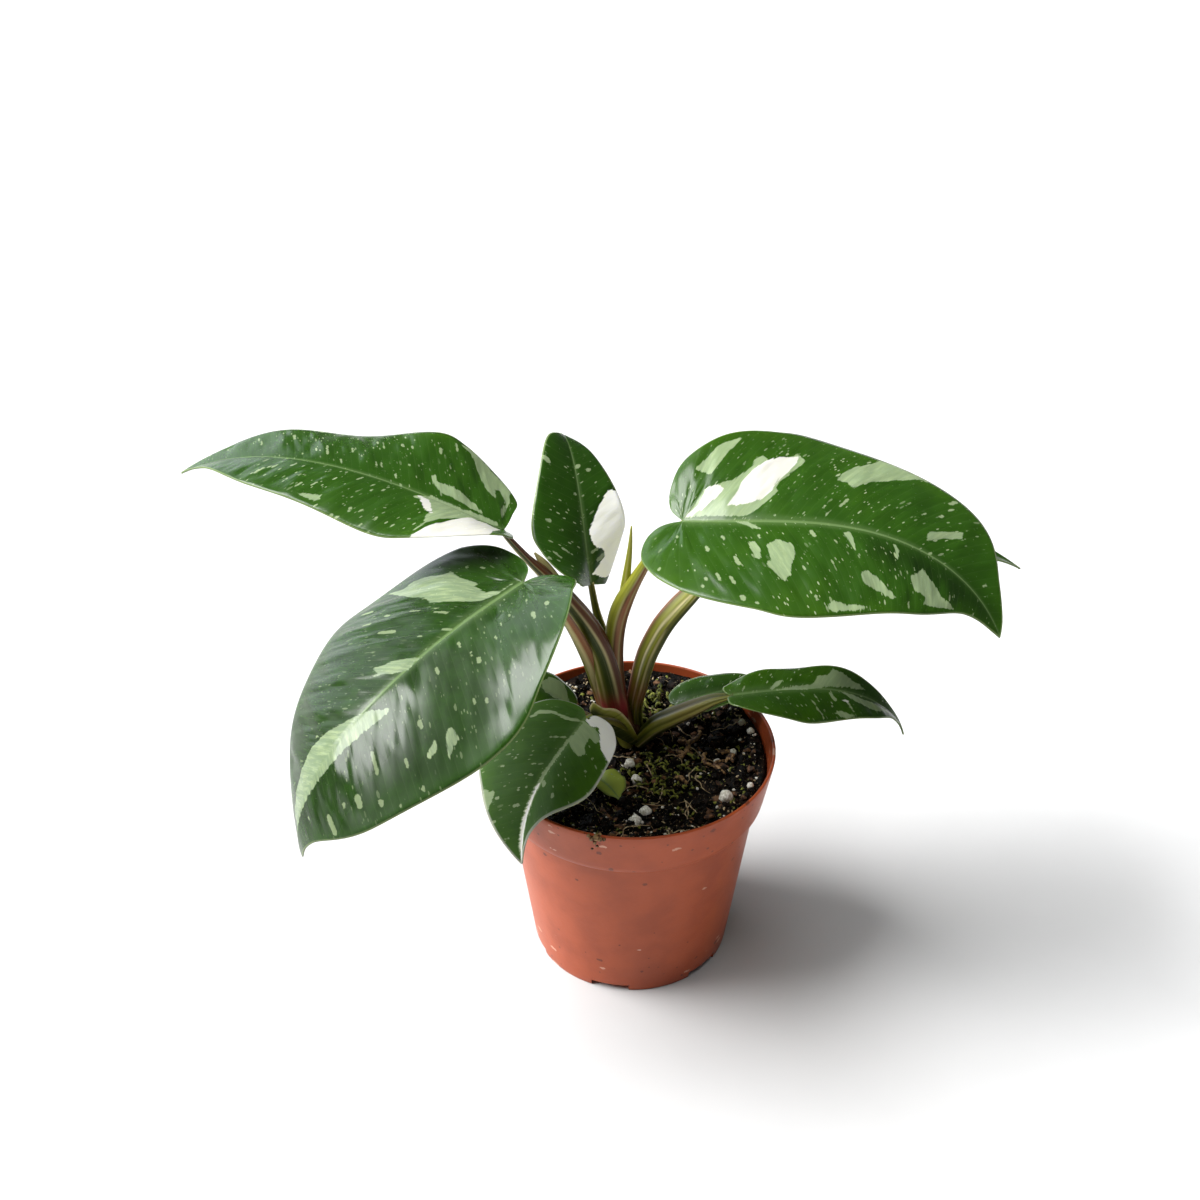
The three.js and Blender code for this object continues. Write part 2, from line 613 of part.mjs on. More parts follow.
function stemSolid(grow) {
  const route = [[STEM_X, STEM_Y, STEM_FOOT], [STEM_X, STEM_Y, 84], [STEM_X, STEM_Y, STEM_TOP]];
  const radii = [STEM_RADIUS, STEM_RADIUS, STEM_RADIUS * 0.96, STEM_RADIUS * 0.8];
  return sweptSolid(route, 4, 16, (centre, along, share, angle) => {
    const reach = listAt(radii, share) + grow;
    centre.x += reach * Math.cos(angle);
    centre.y += reach * Math.sin(angle);
    return centre;
  });
}

// The plant's pieces in order: a later one gives way to each earlier one, with the gap between
const pieces = [];
for (const [name, leaf] of Object.entries(LEAVES)) {
  const colour = name === 'young' ? COLOURS.youngBlade : COLOURS.blade;
  pieces.push({ name: `leaf_blade_${name}`, colour, make: (grow) => bladeSolid(leaf, grow) });
}
pieces.push({ name: 'stem', colour: COLOURS.stem, make: stemSolid });
for (const name of Object.keys(STALKS)) {
  const tip = SHEATH_TIPS[name];
  const make = (grow) => {
    const solid = stalkUnderBlade(name, grow);
    return tip ? solid.add(sheathTipSolid(tip, grow)) : solid;
  };
  pieces.push({ name: `leaf_stalk_${name}`, colour: COLOURS.stalk, make });
}

function boxesMeet(first, second) {
  const [a, b] = [first.boundingBox(), second.boundingBox()];
  return [0, 1, 2].every((axis) => a.min[axis] < b.max[axis] && b.min[axis] < a.max[axis]);
}

const plant = new THREE.Group();
function addMesh(name, solid, colour, roughness) {
  const mesh = new THREE.Mesh(geometryOf(solid), materialOf(colour, roughness));
  mesh.name = name;
  plant.add(mesh);
}

addMesh('pot', potSolid(), COLOURS.pot, 0.55);
const soil = soilSolid();
addMesh('soil', soil, COLOURS.soil, 0.95);
const grown = [soil.translate([0, 0, GAP])];
for (const { name, colour, make } of pieces) {
  let solid = make(0);
  for (const earlier of grown) {
    if (name !== 'stem' && boxesMeet(solid, earlier)) solid = solid.subtract(earlier);
  }
  addMesh(name, largestOf(solid).simplify(LEAST_DETAIL), colour, 0.4);
  grown.push(make(GAP));
}

export default plant;
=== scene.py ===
import math

import bmesh
import bpy
import numpy as np
from mathutils import Matrix, Vector, noise


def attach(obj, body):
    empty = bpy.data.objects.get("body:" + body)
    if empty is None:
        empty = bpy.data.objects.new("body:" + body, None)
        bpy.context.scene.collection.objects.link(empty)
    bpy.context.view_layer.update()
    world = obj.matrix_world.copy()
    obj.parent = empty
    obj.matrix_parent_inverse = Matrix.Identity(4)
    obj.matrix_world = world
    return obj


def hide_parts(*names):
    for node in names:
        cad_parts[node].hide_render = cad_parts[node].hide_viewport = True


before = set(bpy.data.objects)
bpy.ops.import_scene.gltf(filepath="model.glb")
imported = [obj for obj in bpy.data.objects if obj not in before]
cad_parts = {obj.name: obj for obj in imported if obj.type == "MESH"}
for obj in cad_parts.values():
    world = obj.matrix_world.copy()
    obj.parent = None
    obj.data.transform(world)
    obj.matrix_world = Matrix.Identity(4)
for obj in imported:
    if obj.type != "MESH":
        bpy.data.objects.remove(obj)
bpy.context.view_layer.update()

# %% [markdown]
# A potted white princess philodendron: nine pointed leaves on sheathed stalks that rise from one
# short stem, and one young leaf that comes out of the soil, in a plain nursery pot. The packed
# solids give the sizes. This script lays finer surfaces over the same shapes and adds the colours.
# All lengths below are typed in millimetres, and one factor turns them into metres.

MM = 0.001


# %% [markdown]
# Colours are written as the hex values that a painting program shows. Blender's nodes work in
# linear light, so one function turns a hex value into linear red, green and blue.

# %% Colour
def linear(hex_colour):
    parts = [((hex_colour >> shift) & 255) / 255 for shift in (16, 8, 0)]
    levels = [p / 12.92 if p <= 0.04045 else ((p + 0.055) / 1.055) ** 2.4 for p in parts]
    return (*levels, 1.0)


print("mid grey is", round(linear(0x808080)[0], 3), "in linear light")


# %% [markdown]
# A material is a small network of nodes. One helper adds a node, sets its properties and joins
# its inputs. A node or a socket is linked, and any other value is typed in. Of a node the first
# output in use is taken, such as the colour of a Mix node that is set to mix colours.

# %% Nodes
MATHS, VECTORS, MIX = "ShaderNodeMath", "ShaderNodeVectorMath", "ShaderNodeMix"
RANGE, NOISE, CELLS = "ShaderNodeMapRange", "ShaderNodeTexNoise", "ShaderNodeTexVoronoi"
BUMP, SURFACE = "ShaderNodeBump", "ShaderNodeBsdfPrincipled"


def add(tree, kind, links=None, **settings):
    node = tree.nodes.new(kind)
    for name, value in settings.items():
        setattr(node, name, value)
    for key, value in (links or {}).items():
        if isinstance(value, bpy.types.Node):
            value = next(output for output in value.outputs if output.enabled)
        if isinstance(value, bpy.types.NodeSocket):
            tree.links.new(value, node.inputs[key])
        else:
            node.inputs[key].default_value = value
    return node


def start_material(name):
    material = bpy.data.materials.new(name)
    material.use_nodes = True
    tree = material.node_tree
    tree.nodes.clear()
    return material, tree


def end_material(material, tree, surface):
    add(tree, "ShaderNodeOutputMaterial", {"Surface": surface})
    print("material:", material.name, len(tree.nodes), "nodes")
    return material


# %% [markdown]
# A living colour is laid on in coats, as a painter does. Each coat covers the one under it where
# some value, such as a noise or a distance, passes from a low to a high level. The change is
# smooth, and a strength below 1 leaves the coat thin, so that the one under it shows through.

# %% Coats of colour
def coat(tree, under, over, value, low, high, strength=None):
    mask = add(tree, RANGE, {0: value, 1: low, 2: high}, interpolation_type="SMOOTHSTEP")
    if strength is not None:
        mask = add(tree, MATHS, {0: mask, 1: strength}, operation="MULTIPLY")
    return add(tree, MIX, {0: mask, 6: under, 7: over}, data_type="RGBA")


# %% [markdown]
# Every finished piece is a plain mesh whose object stays at the origin. The helper takes the
# points in millimetres, the faces, and any measured value per point that the material reads.

# %% Pieces
def show(name, data):
    """Puts an object with this mesh, lamp or camera in the scene."""
    shown = bpy.data.objects.new(name, data)
    bpy.context.scene.collection.objects.link(shown)
    return shown


def make_piece(name, points, faces, material, values=None, maps=None):
    mesh = bpy.data.meshes.new(name)
    mesh.from_pydata([tuple(p) for p in np.asarray(points) * MM], [], faces)
    mesh.update()
    mesh.shade_smooth()
    for key, numbers in (values or {}).items():
        numbers = np.asarray(numbers, np.float32)
        if numbers.ndim == 2:
            layer = mesh.attributes.new(key, "FLOAT_COLOR", "POINT")
            colours = np.hstack([numbers, np.ones((len(numbers), 1), np.float32)])
            layer.data.foreach_set("color", colours.ravel())
        else:
            layer = mesh.attributes.new(key, "FLOAT", "POINT")
            layer.data.foreach_set("value", numbers)
    corner_points = np.zeros(len(mesh.loops), int)
    mesh.loops.foreach_get("vertex_index", corner_points)
    for key, places in (maps or {}).items():
        layer = mesh.uv_layers.new(name=key)
        flat = np.asarray(places, np.float32)[corner_points]
        layer.data.foreach_set("uv", flat.ravel())
    mesh.materials.append(material)
    return show(name, mesh)


def hand_over(piece, slot, *nodes):
    """The piece rides on the part and takes the place of any CAD nodes given. The slot is not used.
    """
    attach(piece, "root")
    if nodes:
        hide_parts(*nodes)
    print(piece.name, len(piece.data.polygons), "faces")


# %% [markdown]
# A blade is a curved sheet, so it is described by its middle line and by how the sheet bends
# away from it. The heading, pitch and roll turn along the midrib, each from a base, a middle
# and a tip value. Each half lifts away from the midrib, arches down and waves at its margin.
# These are the same numbers as in the imported solids, so the fine blade lies where they lie.

# %% Blade sizes
# Pairs are left and right, looking from the stalk to the tip. Of a wave they hold its height, how
# often it comes along the blade, and where it starts. The last values are for the finish:
# `painted_light_and_youth` paints light into the green, lighter and warmer for a blade that lies in
# shade, and at 2 gives the young leaf its own pale green; `painted_lit_white` paints light into the
# white sectors, whiter where they lie in shade; `dull` takes gloss away, and `flecked` below 1
# thins the flecks. `rib` below 1 narrows the midrib's line, `hem` widens the margin's line and
# makes it cream, and `blunt` widens the tip.
LEAVES = {
    "upper_left": dict(
        attach=(-47.5, 6.5, 186), heading=170, length=135, half_width=(27, 34), lobe=(4, 1),
        turn=(0, -10, -8), pitch=(24, 2, -32), roll=(-8, -1, -4),
        widest=0.33, shoulder=0.69, tail=0.05, lobe_drop=10,
        lift=((24, 2, 18), (20, 8, 15)), arch=((14, 33, 14), (15, 18, 34)),
        wave=((1.5, 1.8, 0.27), (4.2, 1.76, 0.79)), painted_light_and_youth=0.5, rib=0.5),
    "front_left": dict(
        attach=(-39.3, -26, 185), heading=221, length=137, half_width=(46.5, 54), lobe=(9, 9),
        turn=(0, -2, -43), pitch=(-8, -29, -101), roll=(-8, -2, 16),
        widest=0.39, shoulder=0.73, tail=0.04, lobe_drop=14,
        lift=((15, -3, -10), (12, 0, -4)), arch=((0, 32, 29), (28, 30, 8)),
        wave=((2.9, 1.55, 0.05), (1, 2, 0.5)), painted_light_and_youth=0.1, flecked=0.35),
    "centre": dict(
        attach=(-15.9, 14.7, 157.7), heading=106, length=62, half_width=(21, 17), lobe=(1, 1),
        turn=(0, -3, 0), pitch=(54, 52, -9), roll=(-33, -9, -27),
        widest=0.38, shoulder=0.73, tail=0.02, lobe_drop=1,
        lift=((28, 14, 13), (4, 9, 1)), arch=((14, 24, 12), (34, 23, 22)),
        wave=((0.9, 1.6, 0.2), (1.5, 1.44, 0.63)), painted_light_and_youth=0.3, painted_lit_white=1, rib=0.6, blunt=1.8),
    "upper_right": dict(
        attach=(17.2, 3.4, 191.9), heading=-24, length=129, half_width=(46.5, 42), lobe=(8, 11),
        turn=(0, 15, -24), pitch=(12, -9, -58), roll=(-21, -13, -15),
        widest=0.38, shoulder=0.73, tail=0.05, lobe_drop=10,
        lift=((18, 9, 10), (15, 8, 11)), arch=((22, 29, 21), (19, 27, 21)),
        wave=((0.6, 1.7, 0.06), (1.6, 1.53, 0.92)), painted_light_and_youth=0.6),
    "back_right": dict(
        attach=(43, 36, 158), heading=4, length=112, half_width=(22, 22), lobe=(8, 8),
        turn=(0, 0, 4), pitch=(8, -4, -36), roll=(-4, -4, 0),
        widest=0.34, shoulder=0.69, tail=0.08, lobe_drop=10,
        lift=((14, 10, 10), (14, 10, 10)), arch=((25, 25, 15), (25, 25, 15)),
        wave=((1, 1.6, 0.1), (1, 1.6, 0.6)), painted_light_and_youth=0.4),
    "low_right": dict(
        attach=(37.9, 1.6, 115.4), heading=9, length=79, half_width=(12, 16), lobe=(3, 3),
        turn=(0, -3, 0), pitch=(1, -13, -75), roll=(4, -10, -5),
        widest=0.38, shoulder=0.68, tail=0.1, lobe_drop=10,
        lift=((10, 18, 15), (13, 8, 12)), arch=((29, 19, 16), (20, 30, 15)),
        wave=((1.7, 2.28, -0.02), (1.1, 1.52, 0.1)), painted_light_and_youth=0.7),
    "over_the_rim": dict(
        attach=(-17.7, -13.4, 116), heading=247, length=65, half_width=(20, 33.5),
        lobe=(4, 5.5), turn=(0, -15, 21), pitch=(-2, -41, -88), roll=(11, -13, -36),
        widest=0.52, shoulder=0.68, tail=0.05, lobe_drop=10,
        lift=((-6, 20, 42), (0, 17, 29)), arch=((34, 35, 0), (32, 30, 6)),
        wave=((2.7, 1.47, 0.12), (1.3, 1.85, 0.7)), painted_light_and_youth=0.9, dull=1, painted_lit_white=0.5, hem=1.7),
    "small_left": dict(
        attach=(-25, 4, 109), heading=158, length=34, half_width=(9, 10), lobe=(3, 3),
        turn=(0, 5, 10), pitch=(35, 10, -20), roll=(0, 0, 0),
        widest=0.34, shoulder=0.69, tail=0.1, lobe_drop=10,
        lift=((14, 12, 10), (14, 12, 10)), arch=((25, 25, 15), (25, 25, 15)),
        wave=((0.4, 1.6, 0.1), (0.4, 1.6, 0.6)), painted_light_and_youth=0.9),
    "small_right": dict(
        attach=(17, 18, 98), heading=6, length=42, half_width=(12, 9), lobe=(2, 2),
        turn=(0, 0, 0), pitch=(20, 8, -22), roll=(-4, -4, -4),
        widest=0.36, shoulder=0.69, tail=0.1, lobe_drop=10,
        lift=((14, 12, 10), (14, 12, 10)), arch=((25, 25, 15), (25, 25, 15)),
        wave=((0.5, 1.6, 0.1), (0.5, 1.6, 0.6)), painted_light_and_youth=0.6),
    "young": dict(
        attach=(-14, -10, 84.5), heading=-58, length=17, half_width=(9, 5), lobe=(1, 1),
        turn=(0, 4, 6), pitch=(24, -4, -30), roll=(0, 4, 0),
        widest=0.34, shoulder=0.7, tail=0.1, lobe_drop=10,
        lift=((16, 12, 10), (16, 12, 10)), arch=((20, 20, 15), (20, 20, 15)),
        wave=((0.8, 1.9, 0.2), (0.5, 1.6, 0.6)), painted_light_and_youth=2.0),
}
BLADE_THICKNESS, MARGIN_THICKNESS, RIB_DEPTH = 0.7, 0.2, 0.9
# How far a side vein runs forward for each mm that it runs out
VEIN_SLANT = 0.55
print(len(LEAVES), "blades, the longest", max(leaf["length"] for leaf in LEAVES.values()), "mm")


# %% [markdown]
# The maths of the curved sheet works on whole arrays of points at once. `through` gives a
# smooth value along the blade, `midrib_directions` the three directions of the sheet there, and
# `sheet_point` lifts a flat place, so many mm along and across, into space.

# %% The curved sheet
MIDRIB_STEPS = 80
LEAST_BEND = 1e-3
# Behind the stalk a lobe drops by lobe_drop thousandths of its distance squared
LOBE_DROP_UNIT = 0.001
NEARBY = 0.05


def through(values, share):
    base, middle, tip = values
    slope = 4 * middle - 3 * base - tip
    return base + slope * share + (2 * base + 2 * tip - 4 * middle) * share * share


def midrib_directions(leaf, share):
    heading = np.radians(leaf["heading"] + through(leaf["turn"], share))
    pitch = np.radians(through(leaf["pitch"], share))
    roll = np.radians(through(leaf["roll"], share))
    level = np.stack([np.sin(heading), -np.cos(heading), 0 * heading], -1)
    along = np.stack([np.cos(pitch) * np.cos(heading), np.cos(pitch) * np.sin(heading),
                      np.sin(pitch)], -1)
    raised = np.cross(level, along)
    right = level * np.cos(roll)[..., None] + raised * np.sin(roll)[..., None]
    return along, right, np.cross(right, along)


def midrib_line(leaf):
    shares = (np.arange(MIDRIB_STEPS) + 0.5) / MIDRIB_STEPS
    steps = midrib_directions(leaf, shares)[0] * leaf["length"] / MIDRIB_STEPS
    start = np.array(leaf["attach"], float)
    return np.vstack([start, start + np.cumsum(steps, 0)])


def sheet_point(leaf, side, along, across):
    share = np.clip(along / leaf["length"], 0, 1)
    forward, right, up = midrib_directions(leaf, share)
    line = midrib_line(leaf)
    steps = np.arange(MIDRIB_STEPS + 1)
    place = np.stack([np.interp(share * MIDRIB_STEPS, steps, line[:, i]) for i in range(3)], -1)
    behind = np.minimum(along, 0)
    drop = behind**2 * leaf["lobe_drop"] * LOBE_DROP_UNIT
    place = place + forward * behind[..., None] - up * drop[..., None]
    half_width = leaf["half_width"][side]
    lift = np.radians(through(leaf["lift"][side], share))
    arch = np.radians(through(leaf["arch"][side], share))
    bend = np.maximum(arch, LEAST_BEND) / half_width
    outward = (np.sin(lift) - np.sin(lift - bend * across)) / bend
    height, count, start = leaf["wave"][side]
    wave = height * (across / half_width) ** 2
    wave = wave * np.sin(2 * np.pi * (count * along / leaf["length"] + start))
    upward = (np.cos(lift - bend * across) - np.cos(lift)) / bend + wave
    outward = -outward if side == 0 else outward
    return place + right * outward[..., None] + up * upward[..., None]


def sheet_normal(leaf, side, along, across):
    """The place and the direction that faces up from it, from two places nearby."""
    # Nothing lies ahead of the very tip, so there the step is taken backwards
    ahead = np.where(along < leaf["length"], NEARBY, -NEARBY)
    place = sheet_point(leaf, side, along, across)
    forward = sheet_point(leaf, side, along + ahead, across) - place
    forward = forward * np.sign(ahead)[..., None]
    outward = sheet_point(leaf, side, along, across + NEARBY) - place
    normal = np.cross(forward, outward) if side == 0 else np.cross(outward, forward)
    return place, normal / np.linalg.norm(normal, axis=-1, keepdims=True)


tip_of_front = midrib_line(LEAVES["front_left"])[-1]
print("front leaf's tip in mm:", np.round(tip_of_front, 1))


# %% [markdown]
# The margin of each half is a smooth curve through eleven points, from the notch at the stalk
# round the lobe to the tip. It could be a free curve drawn by hand, but as shares of a few typed
# sizes it serves all ten blades.

# %% Margin
MARGIN_POINTS = 900
LINE_DETAIL = 40


def line_length(points):
    return np.sum(np.linalg.norm(np.diff(points, axis=0), axis=1))


def smooth_line(points, count):
    """A curve through the points, with its result spread evenly."""
    points = np.array(points, float)
    spans = len(points) - 1
    at = np.linspace(0, spans, spans * LINE_DETAIL + 1)
    index = np.minimum(at.astype(int), spans - 1)
    t = (at - index)[:, None]
    before, here = points[np.maximum(index - 1, 0)], points[index]
    after, later = points[index + 1], points[np.minimum(index + 2, spans)]
    leave, arrive = (after - before) / 2, (later - here) / 2
    line = (2 * here - 2 * after + leave + arrive) * t**3
    line += (3 * after - 3 * here - 2 * leave - arrive) * t * t + leave * t + here
    lengths = np.concatenate([[0], np.cumsum(np.linalg.norm(np.diff(line, axis=0), axis=1))])
    even = np.linspace(0, lengths[-1], count + 1)
    return np.stack([np.interp(even, lengths, line[:, i]) for i in range(line.shape[1])], -1)


def margin_of(leaf, side):
    """The margin as places along and across, in shares of the lobe, the width and the length."""
    length, tail, width = leaf["length"], leaf["tail"], leaf["half_width"][side]
    lobe, widest = leaf["lobe"][side], leaf["widest"] * leaf["length"]
    blunt = leaf.get("blunt", 1)
    return smooth_line([
        (0, 0), (-0.75 * lobe, 0.1 * width), (-lobe, 0.3 * width), (-0.62 * lobe, 0.56 * width),
        (0.2 * widest - 0.05 * lobe, 0.83 * width), (0.6 * widest, 0.975 * width),
        (widest, width), (leaf["shoulder"] * length, 0.66 * width),
        (length * (1 - tail) * 0.93, 0.23 * blunt * width),
        (length * (1 - tail * 0.55), 0.055 * blunt * width),
        (length, 0),
    ], MARGIN_POINTS)


front_margin = line_length(margin_of(LEAVES["front_left"], 0))
print("the front leaf's left margin is", round(front_margin), "mm long")


# %% [markdown]
# Side veins run out from the midrib, and the grid of the blade follows them, so relief and
# colour can follow them too. The lobe's veins all start at the stalk and fan out. Between its
# side veins a blade swells a little, like a quilt, and that ripple is what makes the gloss of
# the real leaf look ribbed. Rows are spaced so that each swelling has several.

# %% Rows along the veins
VEIN_SPACING, ROWS_PER_VEIN = 3.3, 6
# Veins that fan out stand wider apart at the margin, so the lobe has this share of them
LOBE_VEIN_SHARE = 0.45


def blade_rows(leaf, side):
    """Each row's foot on the midrib, its end on the margin and its number counted in veins."""
    margin = margin_of(leaf, side)
    foot = margin[:, 0] - VEIN_SLANT * margin[:, 1]
    lobe_end = int(np.nonzero(foot <= 0)[0][-1])
    arc = lobe_end * (line_length(margin) / MARGIN_POINTS)
    lobe_veins = max(2, round(arc / VEIN_SPACING * LOBE_VEIN_SHARE))
    lobe_rows = lobe_veins * ROWS_PER_VEIN
    rows = []
    for row in range(1, lobe_rows + 1):
        end = margin[round(lobe_end * row / lobe_rows)]
        rows.append((0.0, end, row / ROWS_PER_VEIN - lobe_veins))
    for row in range(1, foot_rows_of(leaf)):
        start = leaf["length"] * row / foot_rows_of(leaf)
        at = lobe_end + int(np.argmax(foot[lobe_end:] >= start))
        rows.append((start, margin[at], start / VEIN_SPACING))
    return rows


def foot_rows_of(leaf):
    """How many steps the rows take along the midrib."""
    return round(leaf["length"] / VEIN_SPACING * ROWS_PER_VEIN)


print("the front leaf has", len(blade_rows(LEAVES["front_left"], 0)), "rows on its left")


# %% [markdown]
# No grown leaf is even. Broad pleats follow the veins, and the large front leaf has one long
# shallow valley. All relief fades out at the midrib, the margin and the tip, so that the blade
# stays closed and its outline stays the typed one.

# %% Relief and half a blade
COLUMN_SPACING, COLUMN_CROWDING = 1.5, 1.1
QUILT_HEIGHT = 0.035
# Broad unevenness: wavelength and height in mm
PLEATS = ((17, 0.34), (9, 0.17), (5, 0.06))
PLEAT_DRIFT, DRIFT_LENGTH, CROSS_RIPPLE = 0.1, 5, 2.2
# A valley: its start and end on the flat blade, its depth and its half width
CREASES = {"front_left": [((16, 0), (56, -42), 1.8, 10)]}
# Relief fades out over so many mm at the midrib and the tip. At the margin it fades out over the
# last part of a row, of which there are so many in the whole row
RIB_FADE, TIP_FADE, MARGIN_FADE = 9, 25, 5
# Blades shorter than this have lower relief
FULL_RELIEF_LENGTH = 80


def unevenness(name, seed, along, across, veins, reach):
    """Height in mm of the pleats that follow the veins, less the depth of any valley."""
    draws = np.random.default_rng(seed)
    height = 0 * reach
    for wavelength, size in PLEATS:
        turn, shift, drift = draws.uniform(0, 2 * np.pi, 3)
        wander = PLEAT_DRIFT * drift * reach / DRIFT_LENGTH
        pleat = np.sin(2 * np.pi * veins * VEIN_SPACING / wavelength + turn + wander)
        height = height + size * pleat * np.sin(reach * CROSS_RIPPLE / wavelength + shift)
    for (x0, y0), (x1, y1), depth, half_width in CREASES.get(name, []):
        length = math.hypot(x1 - x0, y1 - y0)
        aside = ((along - x0) * (y1 - y0) - (across - y0) * (x1 - x0)) / length
        height = height - depth * np.exp(-((aside / half_width) ** 2))
    return height


def half_blade(name, leaf, side, columns):
    """One half of the middle sheet: points, normals, and where on the blade each point lies."""
    length = leaf["length"]
    rows = blade_rows(leaf, side)
    starts = np.array([row[0] for row in rows])[:, None]
    ends = np.array([row[1] for row in rows])
    veins = np.array([row[2] for row in rows])[:, None]
    shares = (np.arange(1, columns + 1) / columns)[None, :] ** COLUMN_CROWDING
    along = starts + (ends[:, :1] - starts) * shares
    across = ends[:, 1:] * shares
    place, up = sheet_normal(leaf, side, along, across)
    reach = np.hypot(along - starts, across)
    sign = -1 if side == 0 else 1
    quilt = 0.5 - 0.5 * np.cos(2 * np.pi * veins)
    uneven = unevenness(name, round(length) + side, along, sign * across, veins, reach)
    fade = np.clip(reach / RIB_FADE, 0, 1) * np.clip((1 - shares) * MARGIN_FADE, 0, 1)
    fade = fade * np.clip((length - along) / TIP_FADE, 0, 1)
    relief = (QUILT_HEIGHT * quilt + uneven) * min(1.0, length / FULL_RELIEF_LENGTH) * fade
    width = np.hypot(ends[:, :1] - starts, ends[:, 1:])
    return dict(
        points=(place + up * relief[..., None]).reshape(-1, 3), normals=up.reshape(-1, 3),
        along=along.ravel(), across=sign * across.ravel(),
        veins=np.broadcast_to(veins, along.shape).ravel(), reach=sign * reach.ravel(),
        edge=(width * (1 - shares)).ravel())


# %% [markdown]
# The midrib and the two halves make one sheet. The blade is closed by a second copy of it below
# the first, and by a narrow band of faces that joins the two along the margin.

# %% Whole blade
FAR_FROM_EDGE = 9.0


def blade_sheet(name, leaf):
    """The middle sheet, with the midrib's points first, and how many rows each half has."""
    columns = round(max(leaf["half_width"]) / COLUMN_SPACING)
    foot_rows = foot_rows_of(leaf)
    feet = np.arange(foot_rows + 1) * leaf["length"] / foot_rows
    spine, spine_up = sheet_normal(leaf, 1, feet, 0 * feet)
    midrib = dict(points=spine, normals=spine_up, along=feet, across=0 * feet,
                  veins=feet / VEIN_SPACING, reach=0 * feet,
                  edge=np.where(feet < leaf["length"], FAR_FROM_EDGE, 0.0))
    halves = [half_blade(name, leaf, side, columns) for side in (0, 1)]
    sheet = {key: np.concatenate([midrib[key], *(half[key] for half in halves)])
             for key in midrib}
    return sheet, columns, [len(half["points"]) // columns for half in halves]


def blade_faces(foot_rows, columns, rows):
    """Faces over and under the sheet, and round its margin. Lower points follow the upper ones."""
    first = [foot_rows + 1, foot_rows + 1 + rows[0] * columns]
    count = first[1] + rows[1] * columns
    faces = []

    def index(side, row, column):
        if row == 0:
            return 0
        if row > rows[side]:
            return foot_rows
        if column == 0:
            return max(0, row - (rows[side] - (foot_rows - 1)))
        return first[side] + (row - 1) * columns + column - 1

    def face(*corners):
        ring = [c for i, c in enumerate(corners) if c != corners[i - 1]]
        if len(ring) > 2:
            faces.append(tuple(ring))

    for side in (0, 1):
        for row in range(rows[side] + 1):
            for column in range(columns):
                corners = [index(side, row, column), index(side, row + 1, column),
                           index(side, row + 1, column + 1), index(side, row, column + 1)]
                corners = corners if side == 0 else corners[::-1]
                face(*corners)
                face(*[c + count for c in corners[::-1]])
            near, far = index(side, row, columns), index(side, row + 1, columns)
            near, far = (near, far) if side == 0 else (far, near)
            face(near, far, far + count, near + count)
    return faces


print("the front leaf's sheet has", len(blade_sheet("front_left", LEAVES["front_left"])[0]["edge"]),
      "points")
